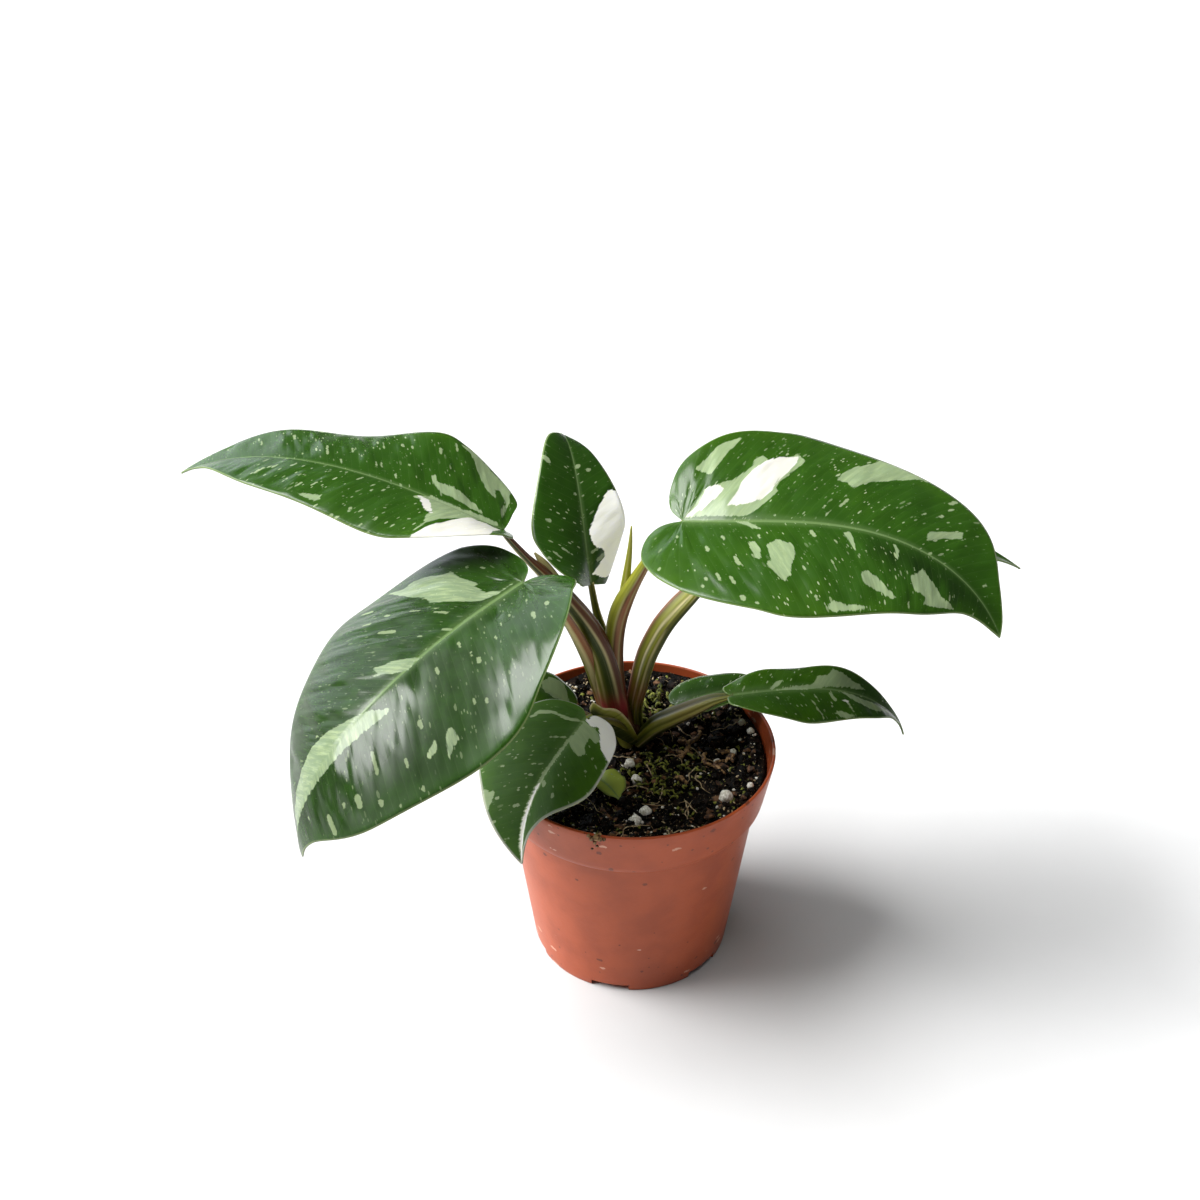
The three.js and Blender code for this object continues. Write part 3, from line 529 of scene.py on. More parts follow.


# %% [markdown]
# Variegation comes in sectors: whole wedges between side veins that have lost their green. White
# ones have lost all of it and pale ones half. Two more kinds aren't variegation but wide soft
# patches: dull ones, where the skin is less glossy, and deep ones, which are painted shade: the
# darkest green, where the blade turns away from the light. Each sector is typed as a few corners on
# the flat blade, in mm along and across, left being minus. The blade stores how far inside a sector
# each point lies, and the material frays the edge.

# %% Sectors of the blades
SECTORS = {
    ("upper_right", "white"): [
        [(0, -1), (4, -5), (6, -10), (6, -13), (8, -14), (11, -15), (14, -13), (11, -9), (7, -5),
         (3, -2)],
        [(16, -6), (18, -10), (20, -17), (23, -21), (25, -24), (28, -27), (33, -30), (40, -32),
         (40, -28), (37, -23), (34, -19), (33, -17), (32, -13), (28, -9), (23, -7)],
    ],
    ("upper_right", "pale"): [
        [(0, -1), (4, -8), (6, -13), (11, -15), (15, -17), (18, -18), (19, -20), (23, -24),
         (24, -28), (27, -30), (29, -27), (40, -33), (43, -29), (40, -26), (37, -21), (34, -18),
         (33, -14), (34, -13), (31, -9), (27, -5), (23, -2), (6, -2)],
        [(0, -21), (2, -24), (5, -29), (9, -34), (17, -38), (14, -32), (11, -27), (9, -22),
         (7, -19)],
        [(54, -22), (56, -27), (59, -31), (62, -33), (66, -38), (67, -41), (71, -40), (76, -38),
         (81, -37), (85, -34), (80, -35), (75, -31), (69, -27), (65, -24), (59, -18), (58, -21)],
        [(86, -9), (91, -13), (96, -17), (97, -14), (92, -10), (87, -5)],
        [(26, 11), (28, 11), (30, 15), (31, 20), (29, 20), (27, 15)],
        [(32, 13), (35, 10), (38, 11), (41, 12), (42, 17), (41, 23), (41, 26), (39, 29),
         (37, 27), (35, 25), (33, 23), (33, 21), (34, 20), (33, 16)],
        [(58, 4), (60, 2), (62, 6), (63, 11), (62, 10), (60, 7)],
        [(76, 3), (77, 3), (79, 5), (79, 10)],
        [(66, 21), (68, 19), (72, 20), (77, 23), (84, 26), (81, 27), (76, 26), (68, 25)],
        [(85, 15), (88, 12), (89, 8), (92, 10), (96, 11), (101, 14), (109, 13), (102, 19),
         (96, 22), (95, 19), (90, 19)],
        [(54, 37), (57, 34), (64, 34), (72, 33), (78, 33), (69, 35), (58, 38)],
        [(19, 0), (24, 0), (30, 5), (26, 4)],
    ],
    ("upper_left", "white"): [
        [(28, -32), (27, -25), (24, -21), (20, -16), (17, -11), (12, -5), (6, -4), (1, -8),
         (5, -24), (9, -28), (16, -29), (20, -30)],
        [(33, -2), (28, -3), (24, -12), (28, -10)],
    ],
    ("upper_left", "pale"): [
        [(34, -4), (29, 1), (23, 1), (17, 1), (10, 2), (1, 2), (9, -4), (21, -14), (24, -18),
         (27, -23), (25, -18), (26, -14), (25, -10), (27, -7), (30, -6)],
        [(33, 11), (31, 12), (30, 9), (27, 9), (23, 9), (18, 8), (13, 6), (9, 3), (14, 3),
         (21, 4), (26, 4), (30, 7)],
        [(30, 32), (26, 33), (20, 32), (12, 28), (6, 26), (3, 23), (2, 16), (2, 5), (4, 9),
         (3, 14), (7, 20), (9, 19), (7, 14), (9, 14), (13, 17), (17, 22), (21, 27), (24, 30)],
        [(73, -19), (64, -17), (63, -19), (65, -21)],
        [(92, 23), (89, 24), (85, 25), (81, 24), (86, 23)],
    ],
    ("front_left", "pale"): [
        [(26, 47), (23, 41), (19, 40), (16, 36), (13, 30), (10, 28), (11, 22), (10, 18), (9, 13),
         (11, 14), (11, 8), (8, 3), (0, 2), (10, 2), (16, 5), (21, 12), (27, 20), (25, 23),
         (27, 31)],
        [(61, 12), (58, 10), (55, 8), (51, 4), (47, -1), (50, 0), (54, -1), (59, 4), (64, 10),
         (61, 8)],
        [(67, -8), (72, -2), (78, 2), (85, 6), (92, 9), (98, 10), (106, 9), (112, 8), (121, 6),
         (124, 0), (115, -1), (106, -2), (98, -3), (90, -4), (83, -5), (75, -7)],
        [(61, -28), (59, -29), (61, -33), (63, -33), (67, -35), (64, -30)],
        [(66, -27), (66, -28), (68, -30), (71, -30), (71, -29), (69, -28)],
    ],
    ("front_left", "dull"): [
        [(45, -2), (36, -5), (20, -2), (34, -22), (45, -34), (57, -43), (73, -40), (93, -34),
         (108, -24), (91, -22), (73, -23), (56, -12)],
    ],
    # Painted shade where this blade turns away from the light
    ("upper_right", "deep"): [
        [(66, 4), (80, 1), (95, 0), (110, -1), (121, -2), (119, 5), (108, 10), (98, 13),
         (87, 15), (77, 15), (68, 11)],
    ],
    ("centre", "white"): [
        [(34, 11), (32, 20), (22, 22), (12, 21), (3, 18), (1, 8), (3, 1), (6, 4), (9, 8),
         (12, 7), (13, 4), (16, 2), (20, 2), (27, 6)],
    ],
    ("centre", "pale"): [
        [(49, -11), (45, -10), (45, -11), (47, -13)],
        [(25, 4), (24, 4), (20, 3), (19, 2)],
    ],
    ("over_the_rim", "white"): [
        [(32, 0.6), (42, 1), (50, 1.3), (58, 0.8), (63, -1.2), (60, -3), (54, -3.6), (48, -2.2),
         (40, -1.2), (32, -0.6)],
        [(1, 0), (-5, -3), (-5, -9), (-1, -16), (8, -22), (13, -22), (13, -17), (10, -12),
         (6, -9), (2, -6), (3, -3)],
    ],
    ("over_the_rim", "pale"): [
        [(10.3, 19), (5.9, 16.6), (4, 12.4), (5.1, 7.7), (4.8, 3.9), (3, 1.1), (1.8, 1.6),
         (3.3, 4.9), (3.5, 8.3), (2.2, 13), (3.5, 17.9), (9, 20)],
        [(10, 0.6), (28, 0.9), (40, 1.4), (50, 1.6), (58, 1.2), (64, 0), (61, -4), (55, -4.6),
         (48, -3.2), (38, -1.8), (26, -1), (10, -0.6)],
        [(2, 0), (3, -4), (4, -7), (7, -10), (9, -9), (8, -6), (13, -7), (16, -10), (17, -8),
         (17, -5), (14, -1), (11, 0), (6, 0)],
        [(41, 23), (43, 19), (41, 17), (44, 16), (47, 16), (50, 16), (48, 18), (45, 21)],
    ],
    ("low_right", "white"): [
        [(41, 5), (45, 5), (45, 6), (42, 6)],
    ],
    ("low_right", "pale"): [
        [(14, -1), (17, -4), (22, -5), (19, -3), (15, 0)],
        [(16, 0), (22, -1), (31, -2), (33, -4), (33, -6), (37, -6), (39, -9), (44, -7), (48, -5),
         (53, -3), (46, -2), (37, -1), (26, 1)],
        [(41, 0), (46, 1), (50, 2), (59, 2), (67, 1), (56, 6), (47, 5)],
        [(36, 11), (40, 10), (44, 11), (50, 12), (42, 13), (39, 12)],
    ],
    ("small_left", "pale"): [
        [(13, 2), (11, 7), (6, 8), (3, 5), (0, 1), (5, -2), (10, -2)],
    ],
    ("back_right", "pale"): [
        [(20, 2), (44, 12), (52, 16), (36, 14)],
        [(0, -1), (18, -12), (30, -16), (12, -4)],
    ],
}
FAR_OUTSIDE = -30.0
# A soft patch fades over so many mm, and is at this share on its outline
SOFT_WIDTH, SOFT_OUTLINE = 10, 0.4


def sector_field(name, shade, along, across):
    """How many mm a point lies inside the nearest sector, and minus the distance outside."""
    field = np.full(len(along), FAR_OUTSIDE)
    for corners in SECTORS.get((name, shade), []):
        corners = np.array(corners, float)
        nearest = np.full(len(along), np.inf)
        inside = np.zeros(len(along), bool)
        for (x0, y0), (x1, y1) in zip(corners, np.roll(corners, -1, 0)):
            edge_length = (x1 - x0) ** 2 + (y1 - y0) ** 2
            t = ((along - x0) * (x1 - x0) + (across - y0) * (y1 - y0)) / edge_length
            t = np.clip(t, 0, 1)
            gap = np.hypot(along - x0 - t * (x1 - x0), across - y0 - t * (y1 - y0))
            nearest = np.minimum(nearest, gap)
            spans = (y0 > across) != (y1 > across)
            rise = y1 - y0 if y1 != y0 else 1e-9
            inside ^= spans & (along < (x1 - x0) * (across - y0) / rise + x0)
        field = np.maximum(field, np.where(inside, nearest, -nearest))
    return field


def soft_sector(name, shade, along, across):
    """The same as a share from 0 to 1, for the wide soft patches."""
    return np.clip(sector_field(name, shade, along, across) / SOFT_WIDTH + SOFT_OUTLINE, 0, 1)


print(sum(len(s) for s in SECTORS.values()), "sectors")


# %% [markdown]
# The larger flecks are dashes that lie along the side veins. Each is typed as a middle on the
# flat blade, a length and a width, all in mm. Its direction follows the vein that runs there.

# %% Larger flecks
MARKS = {
    "upper_right": [
        (57, -10.7, 5.6, 1.1), (70.3, -12.1, 4, 0.7), (37.4, -14.5, 2.7, 0.9),
        (47.4, 6.1, 4.3, 1.5), (57.4, -14.2, 2.1, 0.7), (90, -29, 4.3, 1.3),
        (88.3, -19.1, 2.4, 1.1), (83.2, -16.5, 2.7, 0.7), (77.6, -17.7, 3.1, 0.5),
        (50.5, -7.6, 2.6, 0.7), (51.9, -4.7, 4, 0.7), (29.1, 8.6, 3.2, 0.9), (12.8, 15.1, 3.4, 1.3),
        (1.4, 9.6, 1.9, 1.1), (4.5, 21.5, 1, 1.1), (23.2, 20.8, 4.9, 1.5), (14.3, 32.3, 2.5, 1.1),
        (26.7, 37, 2.9, 2), (31.1, 38.8, 1.7, 1.1), (50.7, 34.2, 2.2, 1.5), (90, 25.9, 4, 0.9),
        (0.1, 25.9, 2.1, 1.1), (33.7, -2.6, 2, 0.7), (25.8, -14.9, 1.1, 0.4), (13.5, -24, 1.2, 0.7),
        (14.8, 29.2, 2.6, 1.1), (18.5, 28.5, 4.3, 1.1), (22.8, 29.5, 4.4, 1.1),
        (97.8, -24.7, 1.6, 0.7), (86.2, 11.1, 1.6, 0.7), (89.6, -0.8, 2.4, 0.9),
        (111.1, -5.1, 2, 0.9), (55.7, 8.9, 2.8, 0.9), (67.2, 11.7, 2.5, 0.5),
        (41.8, 37.3, 1.3, 1.1), (51.9, -33.7, 2.8, 0.7), (47.1, -15.6, 1.9, 0.7),
        (17.1, 9.7, 2.9, 1.1), (17.4, -35, 2, 0.7),
    ],
    "upper_left": [
        (90.6, 14.8, 4.7, 1.1), (101.8, 9.5, 3.9, 0.7), (73.5, 8.4, 7.1, 0.9),
        (65.2, 12.5, 3.7, 0.9), (59, 21.2, 3.2, 0.9), (65.5, 3.6, 3.9, 0.7), (80.9, -4.3, 3.6, 0.7),
        (92.1, -10, 5.4, 1.1), (75.6, -9.6, 2.7, 0.7), (79.9, -13.6, 3, 0.7),
        (73.6, -14.9, 3.6, 0.9), (68.3, -12.8, 3.2, 0.7), (54.8, -3.6, 4, 0.7),
        (49.1, 22.3, 2.9, 1.1), (46.3, 27.2, 2.3, 0.7), (34.7, 24.6, 3.9, 1.3),
        (29.9, 29.4, 4.7, 0.9), (53.1, 7, 4.5, 0.7), (51.4, 7.9, 3.6, 0.9), (44.1, 4.2, 3.5, 0.9),
        (51.3, -19.5, 2.3, 1.3), (51.1, -20.6, 2.3, 0.9), (47.3, -19, 2.6, 0.7),
        (56.5, -25, 3, 1.1), (41, -21.1, 2, 0.9), (40, -15.2, 1.4, 1.1), (30.6, -17.6, 1.7, 1.1),
        (44.9, -25, 1.9, 0.7), (48.9, -26.4, 2.5, 0.9), (41.6, -27.3, 3, 0.7),
        (64.5, -14, 1.2, 0.7), (48.9, -5.6, 2.5, 0.7), (48.1, -8.7, 2.1, 0.7),
        (40.6, 0.3, 2.1, 1.1), (41.7, 11.5, 2, 1.1), (81.4, 4.1, 1.6, 0.7), (84.8, -8.5, 2.9, 0.7),
        (66.6, -4.4, 1.9, 0.7), (38.1, 15, 1.4, 0.9), (44.4, -6.5, 3, 0.7), (56.2, -15.7, 1.4, 0.7),
    ],
    "front_left": [
        (38.7, 44.4, 6.2, 1.3), (45.2, 35.9, 4.4, 1.3), (45.1, 22.3, 7.9, 1.8),
        (38.1, 31.4, 3.4, 1.3), (32.4, 21.3, 5.3, 1.1), (28.2, 11, 5.7, 1.1), (33.3, 2.2, 4.2, 1.3),
        (27.5, 14.9, 3.2, 0.7), (14.6, -23.9, 4.9, 1.6), (8.7, -25.8, 2.8, 1.8),
        (17.3, -13.3, 2.2, 1.1), (14.4, -30.5, 2.3, 0.7), (13.4, -33, 2, 1.1),
        (37.3, -18.6, 3.7, 1.6), (36.1, -7.3, 3.4, 1.1), (27.1, -16.1, 2.3, 1.1),
        (46.4, -31.3, 2.6, 1.3), (65.2, -19.6, 3.7, 1.5), (83.7, -16.6, 8.6, 1.3),
        (96.3, -20.7, 5.3, 2.5), (91.6, -27.5, 2.8, 1.8), (79.4, -35.1, 2.4, 1.6),
        (109.5, -16.6, 7.8, 2.2), (115.3, -5.6, 2, 1.1), (92.5, 11, 2.1, 0.9), (9, -13.8, 2.9, 0.9),
        (11.1, -3.1, 2.1, 0.7), (5.9, 24.2, 1.4, 1.5), (3, 19, 2, 1.1), (9.7, 34.9, 1.4, 0.7),
        (-4.5, 20.9, 1.8, 0.7), (101, -16.8, 2.6, 1.3), (88.2, -33.3, 2, 1.1),
        (76.9, -25.4, 3.7, 1.3), (37, -14.5, 3.4, 0.9), (21.8, -13.6, 2.2, 0.9),
        (48.6, -10.2, 3.8, 1.3), (49.1, -28.4, 2.5, 1.1), (43.9, 1.2, 1.6, 0.7),
        (41, 7.7, 2.3, 0.7),
    ],
    "centre": [
        (44, 1.2, 2.6, 1.5), (42.3, 5.1, 2.2, 1.5), (11.8, -19, 2.5, 1.3), (13.4, -15.8, 2.2, 1.1),
        (11.4, -14, 2, 1.3), (14.4, -11.7, 2.1, 1.1), (12.9, -9.8, 2.1, 1.1),
        (20.9, -10.1, 1.9, 1.5), (25.1, -14.2, 2.6, 1.3), (33.4, -1.9, 2, 1.1),
        (32.5, 1.2, 1.1, 0.9), (28.1, -5.7, 1.4, 0.9), (11.8, 3.2, 4.2, 1.1), (9, 6.1, 5.6, 1.8),
    ],
    "over_the_rim": [
        (13.8, 4.3, 7.2, 0.9), (31.9, -3, 3.5, 1.8), (34.5, -11, 2.6, 1.3), (31.2, 4.8, 2.3, 1.1),
        (28, 14.1, 1.9, 0.9), (16.5, 19.3, 2, 0.9), (9.6, 12.5, 2, 0.7), (21.2, 10.5, 1.3, 0.9),
        (21.2, -14, 2.1, 0.9), (15.4, -12.6, 1.7, 0.9), (17.3, -18.3, 2, 1.1), (33, 18.4, 3, 0.5),
        (43.5, 14.3, 2.4, 1.1), (51.4, 12.5, 2.2, 1.1), (43.2, 5.4, 2.9, 1.1),
        (37.8, 6.8, 1.7, 1.1), (35.7, 4.1, 1.1, 0.9), (27.2, 6.5, 3.2, 0.5), (21.1, 15.9, 1.1, 0.7),
        (55.6, 6.1, 2.4, 0.7),
    ],
    "low_right": [
        (37.9, 4, 4.8, 1.5), (16.1, 5.1, 2.5, 0.9), (30.9, 4.8, 3.2, 0.7), (30.7, 10.3, 2.1, 1.1),
        (33.7, 10.8, 2.4, 0.9), (37.2, 8.5, 1.9, 0.9), (44.8, 8.1, 4.9, 0.9), (51, -0.4, 3, 0.7),
        (10.5, 11.4, 2.6, 0.7), (32.8, 13.3, 2.9, 0.7), (21.8, 13.3, 1.6, 0.7),
        (29.4, 7.2, 2.2, 0.7), (4.7, -2.7, 3.8, 0.7), (20.6, 8.2, 0.9, 0.7), (12.2, -6.9, 1.9, 0.7),
    ],
}


def mark_field(name, along, across):
    """How many mm a point lies inside the nearest dash, and minus the distance outside."""
    field = np.full(len(along), FAR_OUTSIDE)
    for middle, beside, length, width in MARKS.get(name, []):
        on_lobe = middle < VEIN_SLANT * abs(beside)
        vein = (middle, beside) if on_lobe else (VEIN_SLANT, math.copysign(1, beside))
        vein = np.array(vein) / np.hypot(*vein)
        ahead = (along - middle) * vein[0] + (across - beside) * vein[1]
        aside = (across - beside) * vein[0] - (along - middle) * vein[1]
        beyond = np.maximum(np.abs(ahead) - (length - width) / 2, 0)
        field = np.maximum(field, width / 2 - np.hypot(beyond, aside))
    return field


print(sum(len(m) for m in MARKS.values()), "dashes")


# %% [markdown]
# A philodendron blade is a living leaf with a waxy skin: deep green, paler along its veins,
# flecked with short pale dashes that lie along the side veins, and glossy enough to mirror a
# window. The colour is layered in the order in which the eye meets it: green, veins, flecks,
# sectors, margin. The bump adds the fine side veins and the pebbled skin.

# %% Colours and scales of a leaf
DEEP_GREEN, LEAF_GREEN, SUN_GREEN, YOUNG_GREEN = 0x162B08, 0x21400B, 0x36580A, 0x8E9C42
PAINTED_SHADE_GREEN, MIDRIB_GREEN, MARGIN_GREEN = 0x0D1E04, 0x63794B, 0x7F8E60
FLECK_GREEN, PALE_GREEN, PALE_SUN, UNDERSIDE_GREEN = 0x82906C, 0x647458, 0x86986E, 0x55693F
PAINTED_LIT_WHITE, CREAM_WHITE = 0xF0F0EC, 0xB6B5AD
# Sizes in mm: blotches of three sizes, streaks along the veins, and pebbles of the skin
BLOTCH_SIZES = {"broad": 22, "patchy": 6, "fine": 1.4}
STREAK_WIDTH, STREAK_LENGTH, PEBBLE_SIZE = 1.5, 9, 0.55
# Small and middling flecks: width and length of a cell in mm, share of cells with one, and seed
FLECK_KINDS = ((0.9, 2.2, 0.08, 3.0), (1.5, 4.2, 0.04, 11.0))
# How much each thin coat covers what is under it
STRENGTHS = {"mottle": 0.35, "deep": 0.65, "vein": 0.05, "halo": 0.22, "midrib": 0.6,
             "pale_sun": 0.7, "underside": 0.55}
LEAF_IOR, SMOOTHEST_LEAF, ROUGHEST_LEAF, DULLING = 1.34, 0.22, 0.3, 0.5
VEIN_RELIEF, LIGHT_DEPTH, LIGHT_SHARE = 0.03, 1.2, 0.35
VALUES_READ = ("painted_light_and_youth", "deep", "mark", "flecked", "rib", "pale", "white", "painted_lit_white", "edge",
               "cream_hem", "upper", "dull")


def leaf_fields(tree):
    """All that the coats read: the blade's values, its two maps, the noises and the veins."""
    field = {key: add(tree, "ShaderNodeAttribute", attribute_name=key).outputs["Fac"]
             for key in VALUES_READ}
    for key in ("flat", "vein"):
        field[key + "_map"] = add(tree, "ShaderNodeUVMap", uv_map=key)
    for key, size in BLOTCH_SIZES.items():
        field[key] = add(tree, NOISE, {"Vector": field["flat_map"], "Scale": 1 / size,
                                       "Detail": 4.0})
    stretched = add(tree, VECTORS,
                    {0: field["vein_map"], 1: (1 / STREAK_WIDTH, 1 / STREAK_LENGTH, 1)},
                    operation="MULTIPLY")
    field["streaks"] = add(tree, NOISE, {"Vector": stretched, "Scale": 1.0, "Detail": 5.0,
                                         "Roughness": 0.65})
    # From 0 on a side vein to 0.5 midway between two
    ahead = add(tree, "ShaderNodeSeparateXYZ", {0: field["vein_map"]})
    turns = add(tree, MATHS, {0: ahead, 1: VEIN_SPACING}, operation="DIVIDE")
    field["ripple"] = add(tree, MATHS, {0: turns, 1: 0.5}, operation="PINGPONG")
    return field


# %% [markdown]
# The green carries painted light and shade. `painted_light_and_youth` lightens and warms each
# blade's green as painted light, a little more near the margin, and shade is painted towards the
# tip; deep patches are painted shade. Flecks are Voronoi cells, stretched along the veins, of which
# only a share holds a fleck. They crowd in some parts of the blade and are rare in others.

# %% Greens and flecks
def leaf_green(tree, field):
    uneven = add(tree, MATHS, {0: field["broad"], 1: 0.7, 2: 0.15}, operation="MULTIPLY_ADD")
    painted_light_and_tone = add(tree, MATHS, {0: field["painted_light_and_youth"], 1: uneven}, operation="ADD")
    painted_light_and_tone = add(tree, MATHS, {0: painted_light_and_tone, 1: 0.35}, operation="SUBTRACT")
    green = coat(tree, linear(DEEP_GREEN), linear(LEAF_GREEN), painted_light_and_tone, 0.0, 0.6)
    green = coat(tree, green, linear(SUN_GREEN), painted_light_and_tone, 0.5, 1.5)
    green = coat(tree, green, linear(LEAF_GREEN), field["patchy"], 0.42, 0.7, STRENGTHS["mottle"])
    # Deep patches are painted shade
    shaded = add(tree, MATHS, {0: field["deep"], 1: STRENGTHS["deep"]}, operation="MULTIPLY")
    green = add(tree, MIX, {0: shaded, 6: green, 7: linear(PAINTED_SHADE_GREEN)}, data_type="RGBA")
    # Only the young leaf's value reaches this coat, which is its own pale green
    green = coat(tree, green, linear(YOUNG_GREEN), field["painted_light_and_youth"], 1.6, 2.1)
    return coat(tree, green, linear(MIDRIB_GREEN), field["ripple"], 0.09, 0.0, STRENGTHS["vein"])


def flecks(tree, vein_map, width, length, share, seed):
    """A mask of short dashes along the veins."""
    stretched = add(tree, VECTORS,
                    {0: vein_map, 1: (1 / width, 1 / length, 1), 2: (seed, seed * 1.7, 0)},
                    operation="MULTIPLY_ADD")
    cells = add(tree, CELLS, {"Vector": stretched, "Scale": 1.0, "Randomness": 1.0},
                voronoi_dimensions="2D")
    draws = add(tree, "ShaderNodeSeparateColor", {0: cells.outputs["Color"]})
    chosen = add(tree, MATHS, {0: draws, 1: 1 - share}, operation="GREATER_THAN")
    size = add(tree, MATHS, {0: draws.outputs[1], 1: 0.26, 2: 0.12}, operation="MULTIPLY_ADD")
    inside = add(tree, MATHS, {0: size, 1: cells}, operation="SUBTRACT")
    mask = add(tree, RANGE, {0: inside, 1: 0.0, 2: 0.06}, interpolation_type="SMOOTHSTEP")
    return add(tree, MATHS, {0: mask, 1: chosen}, operation="MULTIPLY")


def leaf_flecks(tree, field, green):
    crowd = add(tree, RANGE, {0: field["broad"], 1: 0.36, 2: 0.62},
                interpolation_type="SMOOTHSTEP")
    small, middling = [flecks(tree, field["vein_map"], *kind) for kind in FLECK_KINDS]
    spots = add(tree, MATHS, {0: small, 1: middling}, operation="MAXIMUM")
    spots = add(tree, MATHS, {0: spots, 1: crowd}, operation="MULTIPLY")
    spots = add(tree, MATHS, {0: spots, 1: field["flecked"]}, operation="MULTIPLY")
    # The typed dashes have a rough edge, and pale less than the flecks on a thinly flecked blade
    rough = add(tree, MATHS, {0: field["fine"], 1: 1.2, 2: -0.6}, operation="MULTIPLY_ADD")
    inside = add(tree, MATHS, {0: field["mark"], 1: rough}, operation="ADD")
    dashes = add(tree, RANGE, {0: inside, 1: -0.1, 2: 0.2}, interpolation_type="SMOOTHSTEP")
    cover = add(tree, MATHS, {0: field["flecked"], 1: 0.3, 2: 0.5}, operation="MULTIPLY_ADD")
    dashes = add(tree, MATHS, {0: dashes, 1: cover}, operation="MULTIPLY")
    spots = add(tree, MATHS, {0: spots, 1: dashes}, operation="MAXIMUM")
    return add(tree, MIX, {0: spots, 6: green, 7: linear(FLECK_GREEN)}, data_type="RGBA")


# %% [markdown]
# The midrib and a faint halo beside it are paler than the blade. Then come the pale and the
# white sectors, whose edges are frayed by streaks along the veins, and the thin pale line of the
# margin. The underside shows the same markings through a matt grey green.

# %% Midrib, sectors and margin
def leaf_sectors(tree, field, colour):
    """The colour with its midrib and sectors, and the mask of the white ones."""
    for start, end, strength in ((4.5, 0.5, "halo"), (1.2, 0.2, "midrib")):
        colour = coat(tree, colour, linear(MIDRIB_GREEN), field["rib"], start, end,
                      STRENGTHS[strength])
    fray = add(tree, MATHS, {0: field["streaks"], 1: 2.8, 2: -1.4}, operation="MULTIPLY_ADD")
    tone = coat(tree, linear(PALE_GREEN), linear(FLECK_GREEN), field["streaks"], 0.4, 0.75)
    # Pale sectors are painted lighter on blades that are given more painted light
    lit = add(tree, MATHS, {0: field["painted_light_and_youth"], 1: STRENGTHS["pale_sun"]}, operation="MULTIPLY")
    tone = add(tree, MIX, {0: lit, 6: tone, 7: linear(PALE_SUN)}, data_type="RGBA")
    pale = add(tree, MATHS, {0: field["pale"], 1: fray}, operation="ADD")
    colour = coat(tree, colour, tone, pale, -0.15, 0.25)
    white = add(tree, MATHS, {0: field["white"], 1: fray}, operation="ADD")
    white = add(tree, RANGE, {0: white, 1: -0.1, 2: 0.3}, interpolation_type="SMOOTHSTEP")
    # White sectors of blades that lie in shade are painted whiter: painted light
    tone = add(tree, MIX, {0: field["painted_lit_white"], 6: linear(CREAM_WHITE), 7: linear(PAINTED_LIT_WHITE)},
               data_type="RGBA")
    return add(tree, MIX, {0: white, 6: colour, 7: tone}, data_type="RGBA"), white


def leaf_margin(tree, field, colour, white):
    line = add(tree, RANGE, {0: field["edge"], 1: 0.8, 2: 0.3}, interpolation_type="SMOOTHSTEP")
    green_part = add(tree, MATHS, {0: 1.0, 1: white}, operation="SUBTRACT")
    line = add(tree, MATHS, {0: line, 1: green_part}, operation="MULTIPLY")
    tone = add(tree, MIX, {0: field["cream_hem"], 6: linear(MARGIN_GREEN),
                           7: linear(CREAM_WHITE)}, data_type="RGBA")
    cover = add(tree, MATHS, {0: field["cream_hem"], 1: 0.1, 2: 0.5}, operation="MULTIPLY_ADD")
    line = add(tree, MATHS, {0: line, 1: cover}, operation="MULTIPLY")
    colour = add(tree, MIX, {0: line, 6: colour, 7: tone}, data_type="RGBA")
    below = add(tree, MIX, {0: STRENGTHS["underside"], 6: colour, 7: linear(UNDERSIDE_GREEN)},
                data_type="RGBA")
    return add(tree, MIX, {0: field["upper"], 6: below, 7: colour}, data_type="RGBA")


# %% [markdown]
# Skin of this kind is smooth wax over pebbled cells: a low roughness, a little light that passes
# into the flesh, and a bump for the side veins that is shallow enough to bend only the gloss.

# %% Waxy variegated leaf
def leaf_material():
    material, tree = start_material("waxy variegated leaf")
    field = leaf_fields(tree)
    colour = leaf_flecks(tree, field, leaf_green(tree, field))
    colour = leaf_margin(tree, field, *leaf_sectors(tree, field, colour))
    pebbles = add(tree, CELLS, {"Vector": field["flat_map"], "Scale": 1 / PEBBLE_SIZE},
                  voronoi_dimensions="2D")
    pebbles = add(tree, MATHS, {0: pebbles, 1: 0.1}, operation="MULTIPLY")
    relief = add(tree, RANGE, {0: field["ripple"], 1: 0.0, 2: 0.16},
                 interpolation_type="SMOOTHSTEP")
    relief = add(tree, MATHS, {0: relief, 1: pebbles}, operation="ADD")
    bump = add(tree, BUMP, {"Strength": 0.35, "Distance": VEIN_RELIEF * MM, "Height": relief})
    gloss = add(tree, RANGE, {0: field["fine"], 3: SMOOTHEST_LEAF, 4: ROUGHEST_LEAF})
    gloss = add(tree, MATHS, {0: field["dull"], 1: DULLING, 2: gloss}, operation="MULTIPLY_ADD")
    skin = add(tree, SURFACE,
               {"Base Color": colour, "Roughness": gloss, "IOR": LEAF_IOR,
                "Subsurface Weight": LIGHT_SHARE, "Subsurface Radius": (1.0, 1.0, 0.5),
                "Subsurface Scale": LIGHT_DEPTH * MM, "Normal": bump})
    return end_material(material, tree, skin)


leaf_skin = leaf_material()


# %% [markdown]
# Ten blades come from one function, in a loop, and each stands for its solid of the same name.
# The sheet gets its thickness here: a groove above the midrib, a rib below it, and a thin margin.
# Each point also stores the values that the leaf's coats read.

# %% Make the blades
RIB_HALF_WIDTH, GROOVE_DEPTH = 1.0, 0.3
# The midrib's width is this share at the stalk, and 1 less than this at the tip
RIB_TAPER = 1.15
# Painted light in the green is a little stronger near the margin, and TIP_SHADE paints shade
# towards the tip
EDGE_WARMTH, EDGE_WARMTH_WIDTH, TIP_SHADE = 0.35, 6, 0.3


